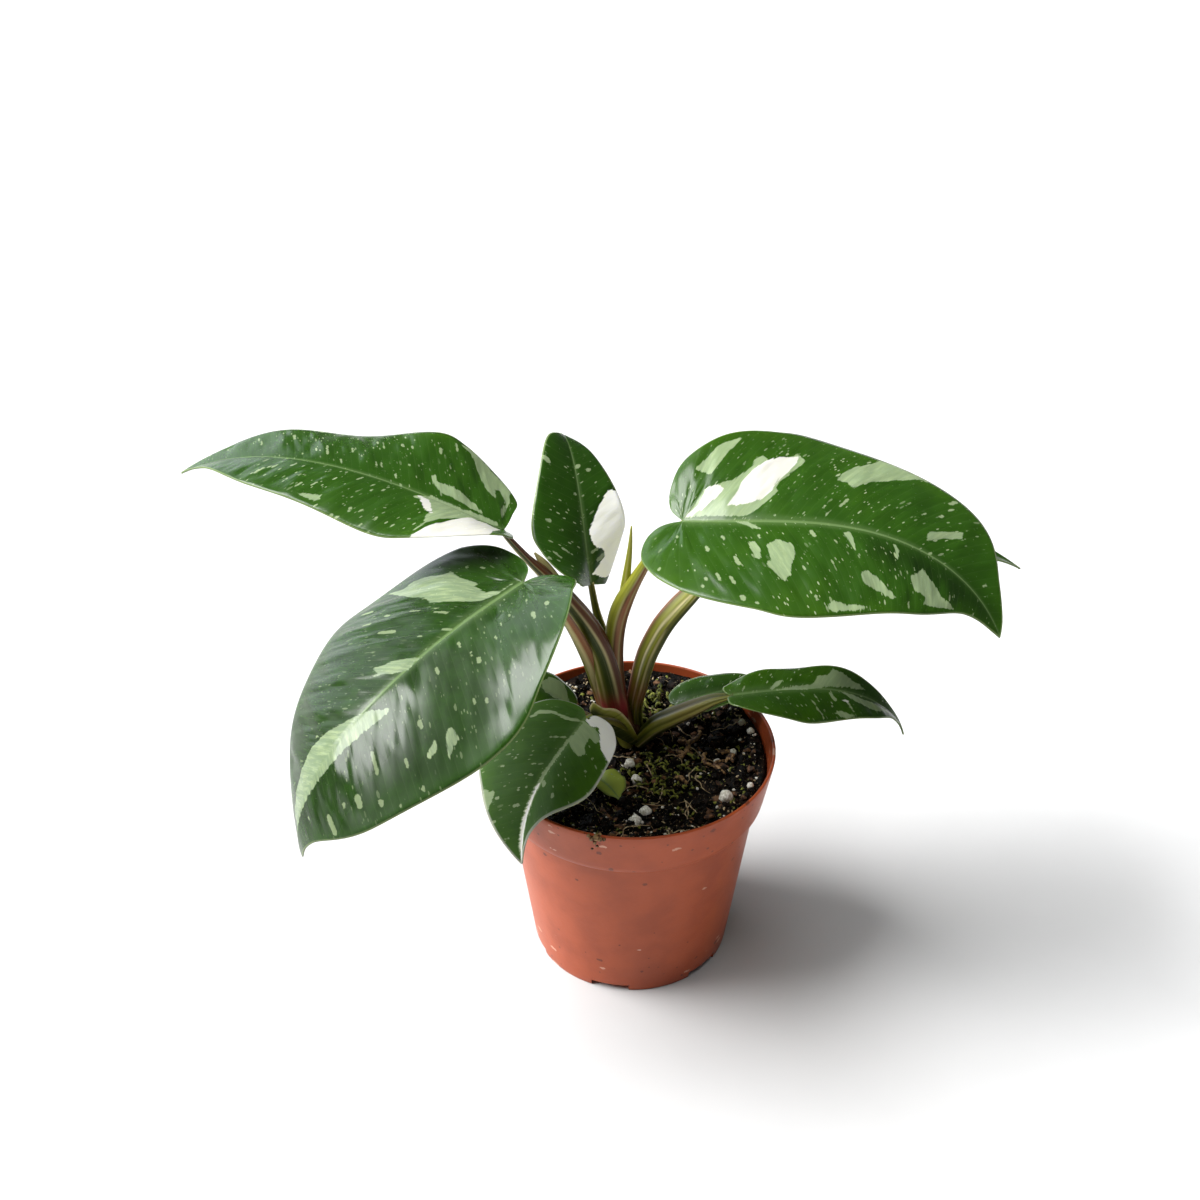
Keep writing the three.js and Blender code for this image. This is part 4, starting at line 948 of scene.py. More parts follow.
def blade_values(name, leaf, along, across, edge):
    count = len(along)
    share = np.clip(along / leaf["length"], 0, 1)
    warm_edge = EDGE_WARMTH * np.exp(-edge / EDGE_WARMTH_WIDTH)
    return {
        "white": sector_field(name, "white", along, across),
        "pale": sector_field(name, "pale", along, across),
        "edge": edge / leaf.get("hem", 1),
        "rib": np.abs(across) / (leaf.get("rib", 1) * (RIB_TAPER - share)),
        # Painted light and shade in the green; the young leaf's value also gives its own pale green
        "painted_light_and_youth": leaf["painted_light_and_youth"] + warm_edge - TIP_SHADE * share,
        "dull": np.maximum(leaf.get("dull", 0), soft_sector(name, "dull", along, across)),
        "deep": soft_sector(name, "deep", along, across),
        "painted_lit_white": np.full(count, leaf.get("painted_lit_white", 0)),
        "flecked": np.full(count, leaf.get("flecked", 1)),
        "cream_hem": np.full(count, 1.0 if "hem" in leaf else 0.0),
        "mark": mark_field(name, along, across),
    }


def blade_piece(name, leaf):
    sheet, columns, rows = blade_sheet(name, leaf)
    along, across, edge = sheet["along"], sheet["across"], sheet["edge"]
    count = len(along)
    share = np.clip(along / leaf["length"], 0, 1)
    rib = np.exp(-((across / (RIB_HALF_WIDTH * (RIB_TAPER - share))) ** 2))
    rib = rib * min(1.0, leaf["length"] / FULL_RELIEF_LENGTH)
    half = np.where(edge < 1e-6, MARGIN_THICKNESS / 2, BLADE_THICKNESS / 2)
    top = sheet["points"] + sheet["normals"] * (half - GROOVE_DEPTH * rib * (1 - share))[:, None]
    below = sheet["points"] - sheet["normals"] * (half + RIB_DEPTH * rib * (1 - share))[:, None]
    values = blade_values(name, leaf, along, across, edge)
    values = {key: np.concatenate([v, v]) for key, v in values.items()}
    values["upper"] = np.concatenate([np.ones(count), np.zeros(count)])
    flat_map = np.stack([along, across], -1)
    vein_map = np.stack([sheet["veins"] * VEIN_SPACING, sheet["reach"]], -1)
    maps = {"flat": np.vstack([flat_map, flat_map]), "vein": np.vstack([vein_map, vein_map])}
    return make_piece(f"blade_{name}", np.vstack([top, below]),
                      blade_faces(foot_rows_of(leaf), columns, rows), leaf_skin, values, maps)


for leaf_name, leaf in LEAVES.items():
    hand_over(blade_piece(leaf_name, leaf), "leaf", f"leaf_blade_{leaf_name}")


# %% [markdown]
# A leaf stalk of this plant is a fleshy half-round rod. Its lower part is a sheath with a
# groove on the inner side, and the groove's two thin edges are cream or pink. A stalk is made
# by carrying that outline along a smooth route. Each route is typed as places with a half width
# and a half thickness, and the outline's shape comes from a formula.

# %% Stalk routes
# Each point: x, y, z, half width, half thickness. The bands are the lengthwise stripes that show
# from the left edge, -1, to the right edge, 1, and the dark, brown and maroon bands towards the
# right edge, away from the lamp, are partly painted shade. Blush is how crimson the foot is.
STALKS = {
    "upper_right": dict(
        heading=-20, blush=0.5,
        bands=[(-1, "olive"), (-0.75, "lime"), (-0.2, "lime"), (-0.08, "cream"), (0.02, "brown"),
               (0.12, "pink"), (0.4, "pink"), (0.5, "cream"), (0.6, "pink"), (0.85, "brown")],
        route=[(0, 13, 87, 3.2, 2.8), (-4.5, 14, 102, 3.6, 3), (-6.5, 14, 116, 3.6, 3.3),
               (-7.3, 14, 129, 3.6, 3.8), (-6.5, 13.5, 141, 3.6, 4.1), (-4, 12.5, 151.5, 3.7, 4),
               (1, 10.5, 163.5, 3.6, 2.8), (8, 7.5, 178, 1.9, 1.8), (17.4, 3.4, 191.4, 1.5, 1.1)]),
    "back_right": dict(
        heading=30, blush=0.4,
        bands=[(-1, "pink"), (-0.9, "brown"), (-0.8, "olive"), (-0.5, "lime"), (-0.4, "olive"),
               (-0.33, "cream"), (-0.26, "olive"), (-0.1, "lime"), (0.1, "dark"), (0.16, "cream"),
               (0.24, "olive"), (0.6, "dark"), (0.9, "olive")],
        route=[(2, 16, 87, 3.4, 2.6), (1, 15.5, 100, 3.8, 2.8), (2.5, 16, 110, 4.5, 3),
               (5, 17.5, 121, 5, 3), (8.5, 19.5, 129, 5.1, 3), (13, 22, 136, 5, 2.9),
               (21, 26, 144, 4.6, 2.6), (31.5, 31, 152, 2.2, 1.9), (43.2, 36, 157.6, 1.6, 1.1)]),
    "upper_left": dict(
        heading=190, blush=0.95,
        bands=[(-1, "pink"), (-0.86, "cream"), (-0.76, "olive"), (-0.62, "olive"), (-0.54, "cream"),
               (-0.44, "olive"), (-0.2, "dark"), (0.28, "dark"), (0.36, "cream"), (0.45, "brown"),
               (0.8, "maroon"), (1, "maroon")],
        route=[(-5, 11, 87, 4.2, 4.8), (-6, 9, 103, 4.8, 5.4), (-7.5, 8, 112, 5.2, 5.7),
               (-9.5, 7.5, 123, 5.7, 5.7), (-12.5, 7, 134.5, 5.6, 5.2), (-17.5, 7, 145, 4.9, 4.6),
               (-23.5, 7, 154.5, 4.2, 3.8), (-31, 7, 165, 3.6, 2.8), (-37.5, 7, 172, 2, 1.8),
               (-42.5, 6.5, 178.5, 1.5, 1.5), (-47.7, 6.5, 185.6, 1.4, 1.1)]),
    "front_left": dict(
        heading=215, blush=0.6,
        bands=[(-1, "olive"), (-0.7, "olive"), (-0.5, "cream"), (0.1, "cream"), (0.35, "pink"),
               (0.8, "pink"), (1, "brown")],
        route=[(-7.5, 12, 87, 2.8, 2.6), (-11, 11, 105, 3.1, 2.9), (-15.5, 7, 125, 3.1, 2.9),
               (-20, 0, 142, 2.9, 2.5), (-24, -8.5, 156.5, 2.5, 2.1), (-28.5, -15, 169, 2.2, 2),
               (-33.5, -21.5, 178.5, 1.9, 1.8), (-39.5, -26.2, 184.5, 1.7, 1.1)]),
    "centre": dict(
        heading=100, blush=0.2,
        bands=[(-1, "dark"), (-0.4, "olive"), (0.3, "dark"), (0.8, "olive"), (1, "cream")],
        route=[(-3, 18, 87, 2, 1.8), (-7, 18.5, 102, 2.1, 1.8), (-9, 19, 117, 2.1, 1.7),
               (-11.5, 19.5, 131.5, 2, 1.6), (-14, 18.5, 143, 1.5, 1.3),
               (-15.9, 14.8, 157.5, 1.2, 0.9)]),
    "low_right": dict(
        heading=-12, blush=0.1,
        bands=[(-1, "sage"), (-0.92, "cream"), (-0.82, "olive"), (-0.55, "dark"), (-0.3, "olive"),
               (-0.12, "lime"), (-0.04, "cream"), (0.05, "olive"), (0.25, "dark"), (1, "dark")],
        route=[(2.5, 10, 87, 3.8, 3), (9, 8, 96, 4.8, 3.8), (16, 6.5, 101.5, 4.7, 3.4),
               (24, 4.7, 107.3, 4.2, 2.8), (31, 3.2, 112, 3, 2), (38, 1.6, 115.1, 1.3, 0.9)]),
    "over_the_rim": dict(
        heading=235, blush=0.1,
        bands=[(-1, "olive"), (-0.3, "lime"), (0.3, "lime"), (0.8, "olive"), (1, "dark")],
        route=[(-3, 8, 87, 3.8, 1.8), (-5, 4, 98, 4.2, 1.9), (-8.5, -1, 105.5, 3.8, 1.7),
               (-13, -8, 112, 3, 1.5), (-17.8, -13.5, 115.7, 1.3, 0.9)]),
    "small_left": dict(
        heading=200, blush=0.3, bands=[(-1, "olive"), (0, "lime"), (1, "olive")],
        route=[(-7, 11, 88, 1.9, 1.5), (-13, 8.5, 97, 1.8, 1.4), (-19, 6.5, 103, 1.5, 1.2),
               (-25.2, 4.1, 108.6, 1.1, 0.9)]),
    "small_right": dict(
        heading=15, blush=0.3, bands=[(-1, "olive"), (0, "lime"), (1, "olive")],
        route=[(4.6, 14.5, 86.5, 1.9, 1.5), (9, 16, 91.5, 1.8, 1.4), (13, 17, 95, 1.5, 1.2),
               (17.2, 18, 97.6, 1.1, 0.9)]),
}
# The free tip of a sheath: x, y, z and a radius, flattened across
SHEATH_TIPS = {
    "upper_right": [(-3.5, 12.5, 153, 2.2), (-2.5, 13.5, 163, 1.5), (-1.5, 14, 173.5, 0.9),
                    (-1, 15, 182.5, 0.3)],
    "upper_left": [(-29, 8.5, 163, 2.4), (-33, 10, 169, 1.8), (-36.5, 11, 173.5, 0.4)],
}
print(len(STALKS), "stalks and", len(SHEATH_TIPS), "free sheath tips")


# %% [markdown]
# One function closes a tube: rings of points round a route, joined ring to ring, and a fan at
# each end. The stalks, the sheath tips, the root fibres and the stem all use it.

# %% Tubes
STALK_STEPS, STALK_SIDES = 90, 36
TIP_STEPS, TIP_SIDES, TIP_FLATNESS = 24, 16, 0.5
# Shares of a stalk's half thickness or half width: the groove's depth and half width, and the
# height, place and half width of the two lips beside it
GROOVE_SHARE, GROOVE_HALF_WIDTH = 0.45, 0.5
LIP_SHARE, LIP_PLACE, LIP_HALF_WIDTH = 0.1, 0.8, 0.12


def tube(route, sides, reach_at):
    """Points, faces and each point's angle. `reach_at` gives a ring's reach from the route."""
    line = route[:, :3]
    forward = np.gradient(line, axis=0)
    forward /= np.linalg.norm(forward, axis=1, keepdims=True)
    angles = 2 * np.pi * np.arange(sides) / sides
    rings = [line[i] + reach_at(i, forward[i], angles) for i in range(len(line))]
    points = np.vstack([*rings, line[:1], line[-1:]])
    foot, tip = len(points) - 2, len(points) - 1
    faces = []
    for j in range(sides):
        k = (j + 1) % sides
        for i in range(len(line) - 1):
            a = i * sides
            faces.append((a + j, a + k, a + sides + k, a + sides + j))
        last = (len(line) - 1) * sides
        faces += [(foot, k, j), (tip, last + j, last + k)]
    return points, faces, np.append(np.tile(angles, len(line)), [0, 0])


def stalk_tube(stalk):
    route = smooth_line(stalk["route"], STALK_STEPS)
    lean = math.radians(stalk["heading"])

    def reach_at(i, forward, angles):
        side = np.array([-math.sin(lean), math.cos(lean), 0])
        side -= forward * (side @ forward)
        side /= np.linalg.norm(side)
        inner = np.cross(forward, side)
        across, deep = np.cos(angles), np.sin(angles)
        dip = GROOVE_SHARE * np.exp(-((across / GROOVE_HALF_WIDTH) ** 2)) * (deep > 0)
        aside = (np.abs(across) - LIP_PLACE) / LIP_HALF_WIDTH
        lips = LIP_SHARE * np.exp(-(aside**2)) * (deep > 0)
        thick = route[i, 4] * (1 - dip + lips) * deep
        return np.outer(route[i, 3] * across, side) + np.outer(thick, inner)

    return tube(route, STALK_SIDES, reach_at)


def tip_tube(route):
    route = smooth_line(route, TIP_STEPS)

    def reach_at(i, forward, angles):
        side = np.array([1.0, 0, 0]) - forward * forward[0]
        side /= np.linalg.norm(side)
        flat = np.outer(np.cos(angles), side)
        deep = np.outer(TIP_FLATNESS * np.sin(angles), np.cross(forward, side))
        return route[i, 3] * (flat + deep)

    return tube(route, TIP_SIDES, reach_at)


print("a stalk has", len(stalk_tube(STALKS["centre"])[1]), "faces")


# %% [markdown]
# A petiole is juicy plant tissue with a smooth skin: yellow-green, with long cream stripes of
# the same variegation, and a red blush at the foot. Each point of a stalk stores its colour,
# which comes from the typed bands. Long thin noise only makes that lighter and darker, because
# cells grow lengthwise.

# %% Fleshy striped petiole
BAND_COLOURS = {
    "olive": 0x64641A, "lime": 0x84862A, "dark": 0x2B3508, "sage": 0x70804C, "cream": 0xB4A878,
    "pink": 0x8C5E42, "brown": 0x55331A, "maroon": 0x3E1A12, "crimson": 0x86262E,
}
# Width and length of a streak in mm, and a shift that makes the second pattern differ
STREAKS = ((1.6, 50, 0), (0.5, 3, 3))
PETIOLE_IOR, PETIOLE_ROUGHNESS = 1.33, 0.42


def petiole_material():
    material, tree = start_material("fleshy striped petiole")
    length_map = add(tree, "ShaderNodeUVMap", uv_map="length")
    streaks = []
    for width, length, shift in STREAKS:
        place = add(tree, VECTORS,
                    {0: length_map, 1: (1 / width, 1 / length, 1), 2: (shift, shift, 0)},
                    operation="MULTIPLY_ADD")
        streaks.append(add(tree, NOISE, {"Vector": place, "Scale": 1.0, "Detail": 3.0}))
    thin, short = streaks
    colour = add(tree, "ShaderNodeAttribute", attribute_name="tint")
    colour = coat(tree, colour, linear(BAND_COLOURS["cream"]), thin, 0.5, 0.75, 0.3)
    colour = coat(tree, colour, linear(BAND_COLOURS["dark"]), thin, 0.5, 0.25, 0.4)
    relief = add(tree, MATHS, {0: thin, 1: short}, operation="ADD")
    bump = add(tree, BUMP, {"Strength": 0.4, "Distance": 0.15 * MM, "Height": relief})
    skin = add(tree, SURFACE, {"Base Color": colour, "Roughness": PETIOLE_ROUGHNESS,
                               "IOR": PETIOLE_IOR, "Normal": bump})
    return end_material(material, tree, skin)


petiole_skin = petiole_material()


# %% [markdown]
# A band is looked up by how far left or right of the stalk's route a point lies, as the front
# shows it. Near the soil a crimson blush is laid over the bands.

# %% Make the stalks
CRIMSON_HEIGHT, CRIMSON_SPREAD = 107, 6
# A free sheath tip takes its colour from this place among the bands
TIP_BAND = -0.5
# Turns an angle round a stalk into mm for the streaks
TYPICAL_RADIUS = 3


def band_tint(bands, sideways):
    """The stripes' colour at each place from -1, the left edge, to 1, the right edge."""
    places = [place for place, _ in bands]
    colours = np.array([linear(BAND_COLOURS[name])[:3] for _, name in bands])
    return np.stack([np.interp(sideways, places, colours[:, i]) for i in range(3)], -1)


def sideways_places(points, route):
    """How far left or right of its route each point of a stalk lies, from -1 to 1."""
    forward = np.gradient(route[:, :3], axis=0)
    right = np.stack([forward[:, 2], 0 * forward[:, 2], -forward[:, 0]], -1)
    rings = points[:len(route) * STALK_SIDES].reshape(len(route), STALK_SIDES, 3)
    places = np.einsum("rsi,ri->rs", rings - route[:, None, :3], right)
    places /= np.abs(places).max(1, keepdims=True)
    return np.append(places.ravel(), [0, 0])


def stalk_piece(name, stalk):
    points, faces, angle = stalk_tube(stalk)
    sideways = sideways_places(points, smooth_line(stalk["route"], STALK_STEPS))
    if name in SHEATH_TIPS:
        tip_points, tip_faces, tip_angle = tip_tube(SHEATH_TIPS[name])
        faces += [tuple(c + len(points) for c in f) for f in tip_faces]
        points = np.vstack([points, tip_points])
        angle = np.append(angle, tip_angle)
        sideways = np.append(sideways, np.full(len(tip_points), TIP_BAND))
    tint = band_tint(stalk["bands"], sideways)
    above = (points[:, 2] - CRIMSON_HEIGHT) / CRIMSON_SPREAD
    blush = stalk["blush"] * np.exp(-(above**2))
    tint += blush[:, None] * (np.array(linear(BAND_COLOURS["crimson"])[:3]) - tint)
    length_map = np.stack([angle * TYPICAL_RADIUS, points[:, 2]], -1)
    return make_piece(f"stalk_{name}", points, faces, petiole_skin, {"tint": tint},
                      {"length": length_map})


for stalk_name, stalk in STALKS.items():
    hand_over(stalk_piece(stalk_name, stalk), "stalk", f"leaf_stalk_{stalk_name}")


# %% [markdown]
# The stalk of the leaf over the rim is still wrapped in an open sheath with a wavy, pale upper
# rim. It is a ribbon between two typed rims: a tube again, but each ring is squeezed to a thin
# upright oval that reaches from the lower rim to the upper one.

# %% Open sheath
SHEATH_HALF_THICKNESS, SHEATH_STEPS, SHEATH_SIDES = 0.45, 40, 24
# Colours from the lower rim, -1, to the upper one, 1
SHEATH_BANDS = [(-1, "dark"), (-0.3, "dark"), (0.2, "olive"), (0.6, "lime"), (0.75, "lime"),
                (0.85, "cream")]
SHEATH_UPPER_RIM = np.array([
    (-16.2, -11.0, 119.3), (-15.1, -9.0, 120.1), (-13.2, -7.0, 117.2), (-11.0, -5.0, 114.3),
    (-8.3, -3.0, 112.7), (-5.7, -1.0, 110.3), (-3.0, 1.0, 105.9), (-0.6, 3.0, 100.5),
    (1.4, 5.0, 94.0)])
SHEATH_LOWER_RIM = np.array([
    (-15.9, -11.0, 116.5), (-14.4, -9.0, 113.1), (-12.5, -7.0, 109.6), (-10.2, -5.0, 105.2),
    (-7.9, -3.0, 100.8), (-5.2, -1.0, 96.8), (-2.5, 1.0, 93.3), (-0.1, 3.0, 90.2),
    (1.8, 5.0, 89.6)])


def open_sheath():
    upper = smooth_line(SHEATH_UPPER_RIM, SHEATH_STEPS)
    lower = smooth_line(SHEATH_LOWER_RIM, SHEATH_STEPS)

    def reach_at(i, forward, angles):
        rise = (upper[i] - lower[i]) / 2
        outward = np.cross(forward, rise)
        outward *= SHEATH_HALF_THICKNESS / np.linalg.norm(outward)
        return np.outer(np.cos(angles), rise) + np.outer(np.sin(angles), outward)

    points, faces, angle = tube((upper + lower) / 2, SHEATH_SIDES, reach_at)
    length_map = np.stack([points[:, 2], points[:, 0] * 2], -1)
    return make_piece("open_sheath", points, faces, petiole_skin,
                      {"tint": band_tint(SHEATH_BANDS, np.cos(angle))}, {"length": length_map})


hand_over(open_sheath(), "stalk")

# %% [markdown]
# The stem is the short stump that all the stalks leave. It is ringed by the scars of old
# leaves, and those rings are a small ripple of its radius.

# %% Stem
STEM_X, STEM_Y, STEM_RADIUS = -1.5, 14, 5.6
STEM_FOOT, STEM_TOP, STEM_STEPS, STEM_SIDES = 66, 93, 60, 40
# The stem narrows by this share from a height up to its top
NARROWING, NARROWING_FROM = 0.2, 84
SCAR_SPACING, SCAR_SHARE = 2.6, 0.03


def stem_piece():
    heights = np.linspace(STEM_FOOT, STEM_TOP, STEM_STEPS)
    route = np.stack([0 * heights + STEM_X, 0 * heights + STEM_Y, heights], -1)

    def reach_at(i, forward, angles):
        above = max(0, (heights[i] - NARROWING_FROM) / (STEM_TOP - NARROWING_FROM))
        scar = 1 + SCAR_SHARE * math.cos(2 * math.pi * heights[i] / SCAR_SPACING)
        reach = STEM_RADIUS * (1 - NARROWING * above**2) * scar
        return np.stack([reach * np.cos(angles), reach * np.sin(angles), 0 * angles], -1)

    points, faces, angle = tube(route, STEM_SIDES, reach_at)
    tint = np.tile(linear(BAND_COLOURS["maroon"])[:3], (len(points), 1))
    length_map = np.stack([angle * STEM_RADIUS, points[:, 2]], -1)
    return make_piece("stem_stump", points, faces, petiole_skin, {"tint": tint},
                      {"length": length_map})


hand_over(stem_piece(), "stem", "stem")

# %% [markdown]
# The potting mix is peat and bark with perlite in it. Its top is a fine round grid that is
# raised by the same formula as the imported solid. It fills the pot, so the pot's sizes come first,
# and the formula reads them.

# %% Pot and soil sizes
POT_HEIGHT, RIM_RADIUS, BAND_HEIGHT = 93, 55, 20
BAND_FOOT_RADIUS, BODY_TOP_RADIUS, FOOT_RADIUS = 51.3, 48.7, 38.6
WALL, FOOT_WIDTH, FLOOR_RISE, FLOOR_THICKNESS = 1.3, 4.5, 2.5, 1.5
BODY_HEIGHT = POT_HEIGHT - BAND_HEIGHT
FLOOR_TOP = FLOOR_RISE + FLOOR_THICKNESS
SOIL_LEVEL, SOIL_GAP, MOUND_HEIGHT, MOUND_RADIUS = 82, 0.3, 2.2, 20
# Lumps are two crossed waves and a slanting one, with their turns in radians a mm
LUMP_HEIGHT, WAVE_X, WAVE_Y, SLANT_X, SLANT_Y, SLANT_SHARE = 0.7, 0.31, 0.27, 0.17, 0.39, 0.6
# Pressed up against the wall behind the plant, and a little all round
BACK_RISE, BACK_DISTANCE, EDGE_RISE, EDGE_DISTANCE = 5.5, 40, 3.5, 44


def inner_radius(height):
    if height <= BODY_HEIGHT:
        return FOOT_RADIUS + (BODY_TOP_RADIUS - FOOT_RADIUS) * height / BODY_HEIGHT - WALL
    share = (height - BODY_HEIGHT) / BAND_HEIGHT
    return BAND_FOOT_RADIUS + (RIM_RADIUS - BAND_FOOT_RADIUS) * share - WALL


def soil_height(x, y):
    from_stem = math.hypot(x - STEM_X, y - STEM_Y)
    mound = MOUND_HEIGHT * math.exp(-((from_stem / MOUND_RADIUS) ** 2))
    lumps = math.sin(x * WAVE_X + 1) * math.cos(y * WAVE_Y)
    lumps += SLANT_SHARE * math.sin(x * SLANT_X - y * SLANT_Y)
    backward = min(max(y, 0), BACK_DISTANCE) / BACK_DISTANCE
    heap = BACK_RISE * (0.5 + 0.5 * math.sin(math.pi * (backward - 0.5)))
    edge = EDGE_RISE * min(1, math.hypot(x, y) / EDGE_DISTANCE) ** 4
    return SOIL_LEVEL + mound + LUMP_HEIGHT * lumps + heap + edge


print("the soil stands", round(soil_height(0, -40)), "mm up in front and",
      round(soil_height(0, 40)), "mm behind")


# %% [markdown]
# Peat is nearly black when it is damp, with brown crumbs and straw-coloured threads in it. The
# loose grains share one recipe: two colours in patches as large as the grain's own grit.

# %% Damp potting mix and grains
PEAT_BLACK, PEAT_BROWN, STRAW = 0x040302, 0x1A100A, 0xA89270
CRUMB_SIZE, THREAD_SIZE = 3, 0.7


def potting_material():
    material, tree = start_material("damp potting mix")
    place = add(tree, "ShaderNodeTexCoord").outputs["Object"]
    crumbs, threads = [add(tree, NOISE, {"Vector": place, "Scale": 1 / (size * MM), "Detail": 5.0})
                       for size in (CRUMB_SIZE, THREAD_SIZE)]
    colour = coat(tree, linear(PEAT_BLACK), linear(PEAT_BROWN), crumbs, 0.5, 0.66)
    colour = coat(tree, colour, linear(STRAW), threads, 0.64, 0.7, 0.7)
    bump = add(tree, BUMP, {"Strength": 0.8, "Distance": 0.5 * MM, "Height": threads})
    damp = add(tree, RANGE, {0: crumbs, 3: 0.3, 4: 0.8})
    surface = add(tree, SURFACE, {"Base Color": colour, "Roughness": damp,
                                  "Specular IOR Level": 0.1, "Normal": bump})
    return end_material(material, tree, surface)


def grain_material(name, first, second, size, roughness):
    """A grain's material: two colours in patches of that many mm, and a rough skin."""
    material, tree = start_material(name)
    place = add(tree, "ShaderNodeTexCoord").outputs["Object"]
    patches = add(tree, NOISE, {"Vector": place, "Scale": 1 / (size * MM), "Detail": 4.0})
    colour = coat(tree, linear(first), linear(second), patches, 0.38, 0.62)
    bump = add(tree, BUMP, {"Strength": 0.7, "Distance": 0.3 * MM, "Height": patches})
    surface = add(tree, SURFACE, {"Base Color": colour, "Roughness": roughness, "Normal": bump})
    return end_material(material, tree, surface)


potting_mix = potting_material()
perlite = grain_material("expanded perlite", 0xE9E6DC, 0xB9B3A4, 0.8, 0.8)
bark = grain_material("composted bark", 0x2A1B12, 0x6B4A2E, 1.6, 0.8)
dry_brown = grain_material("dry brown sheath", 0x3A2414, 0x93734A, 1.2, 0.7)
moss = grain_material("moss", 0x262C0C, 0x7C8034, 1.6, 0.85)
root_fibre = grain_material("dry root fibre", 0x7A6648, 0xB8A684, 1.5, 0.75)


# %% [markdown]
# The soil's outline is turned round the pot's axis. Its top is then raised to the formula's
# height and roughened by noise of three sizes, which gives the clods. Below the surface nothing
# shows, so the sides are plain.

# %% Soil bed
SOIL_SEGMENTS, SOIL_TOP_RINGS, RING_CROWDING = 120, 52, 0.9
# Clods: size in mm and share. They calm down over the last mm before the wall
CLOD_HEIGHT, CLOD_SIZES = 5.5, ((9, 0.4), (4, 0.4), (1.5, 0.2))
EDGE_CALM, LEAST_CLODS = 2, 0.3
# Where the soil passes the step in the pot's wall it stays back by these many mm
STEP_GAP, SHOULDER_INSET, SHOULDER_RISE = 0.1, 1.5, 1.2


def turned(profile, sides, top_height=None):
    """Points and faces of a closed turned shape. Its first and last points lie on the axis."""
    points, faces = [(0, 0, profile[0][1])], []
    for radius, height in profile[1:-1]:
        for j in range(sides):
            angle = 2 * math.pi * j / sides
            x, y = radius * math.cos(angle), radius * math.sin(angle)
            points.append((x, y, top_height(x, y, height) if top_height else height))
    points.append((0, 0, profile[-1][1]))
    last = len(points) - 1
    for j in range(sides):
        k = (j + 1) % sides
        faces.append((0, 1 + k, 1 + j))
        for i in range(len(profile) - 3):
            a = 1 + i * sides
            faces.append((a + j, a + k, a + sides + k, a + sides + j))
        a = 1 + (len(profile) - 3) * sides
        faces.append((last, a + j, a + k))
    return points, faces


def clods(x, y):
    total = 0.0
    for size, weight in CLOD_SIZES:
        total += weight * noise.noise(Vector((x / size, y / size, size)))
    return total


def soil_surface_height(x, y, height):
    if height < SOIL_LEVEL - 0.01:
        return height
    edge = min(1.0, (soil_radius - math.hypot(x, y)) / EDGE_CALM)
    return soil_height(x, y) + CLOD_HEIGHT * clods(x, y) * max(edge, LEAST_CLODS)


soil_radius = inner_radius(SOIL_LEVEL) - SOIL_GAP
soil_foot = FLOOR_TOP + SOIL_GAP
soil_profile = [(0, soil_foot), (inner_radius(soil_foot) - SOIL_GAP, soil_foot),
                (inner_radius(BODY_HEIGHT) - SOIL_GAP - STEP_GAP, BODY_HEIGHT - WALL),
                (soil_radius - SHOULDER_INSET, BODY_HEIGHT + WALL + SOIL_GAP + SHOULDER_RISE)]
soil_profile += [(soil_radius * (1 - ring / SOIL_TOP_RINGS) ** RING_CROWDING, SOIL_LEVEL)
                 for ring in range(SOIL_TOP_RINGS)]
soil_profile.append((0, soil_surface_height(0, 0, SOIL_LEVEL)))
points, faces = turned(soil_profile, SOIL_SEGMENTS, soil_surface_height)
soil = make_piece("soil_bed", points, faces, potting_mix)
hand_over(soil, "potting_mix", "soil")

# %% [markdown]
# Loose crumbs lie on the bed in their thousands, which is work for Geometry Nodes. One tree
# strews points over a surface, puts a small ball on each, stretches and turns it at random,
# and roughens the result. Its sizes are named inputs, so the same tree makes crumbs, bark,
# straw, perlite and moss with different numbers. The random draws have a fixed seed.

# %% Strewing tree
STREW_INPUTS = {
    "Grains per square metre": ("NodeSocketFloat", 1e5),
    "Length in mm": ("NodeSocketFloat", 1.5),
    "Width in mm": ("NodeSocketFloat", 1.0),
    "Height in mm": ("NodeSocketFloat", 0.8),
    "Smallest share": ("NodeSocketFloat", 0.4),
    "Roughness in mm": ("NodeSocketFloat", 0.3),
    "Seed": ("NodeSocketInt", 1),
    "Farthest from the axis in mm": ("NodeSocketFloat", 40),
    "Finish": ("NodeSocketMaterial", None),
}
# Grains lie only where the surface faces up by this much, and lean by this many radians at most
LEAST_UPRIGHT, LARGEST_LEAN = 0.5, 0.5
GRIT_SIZE = 1.1


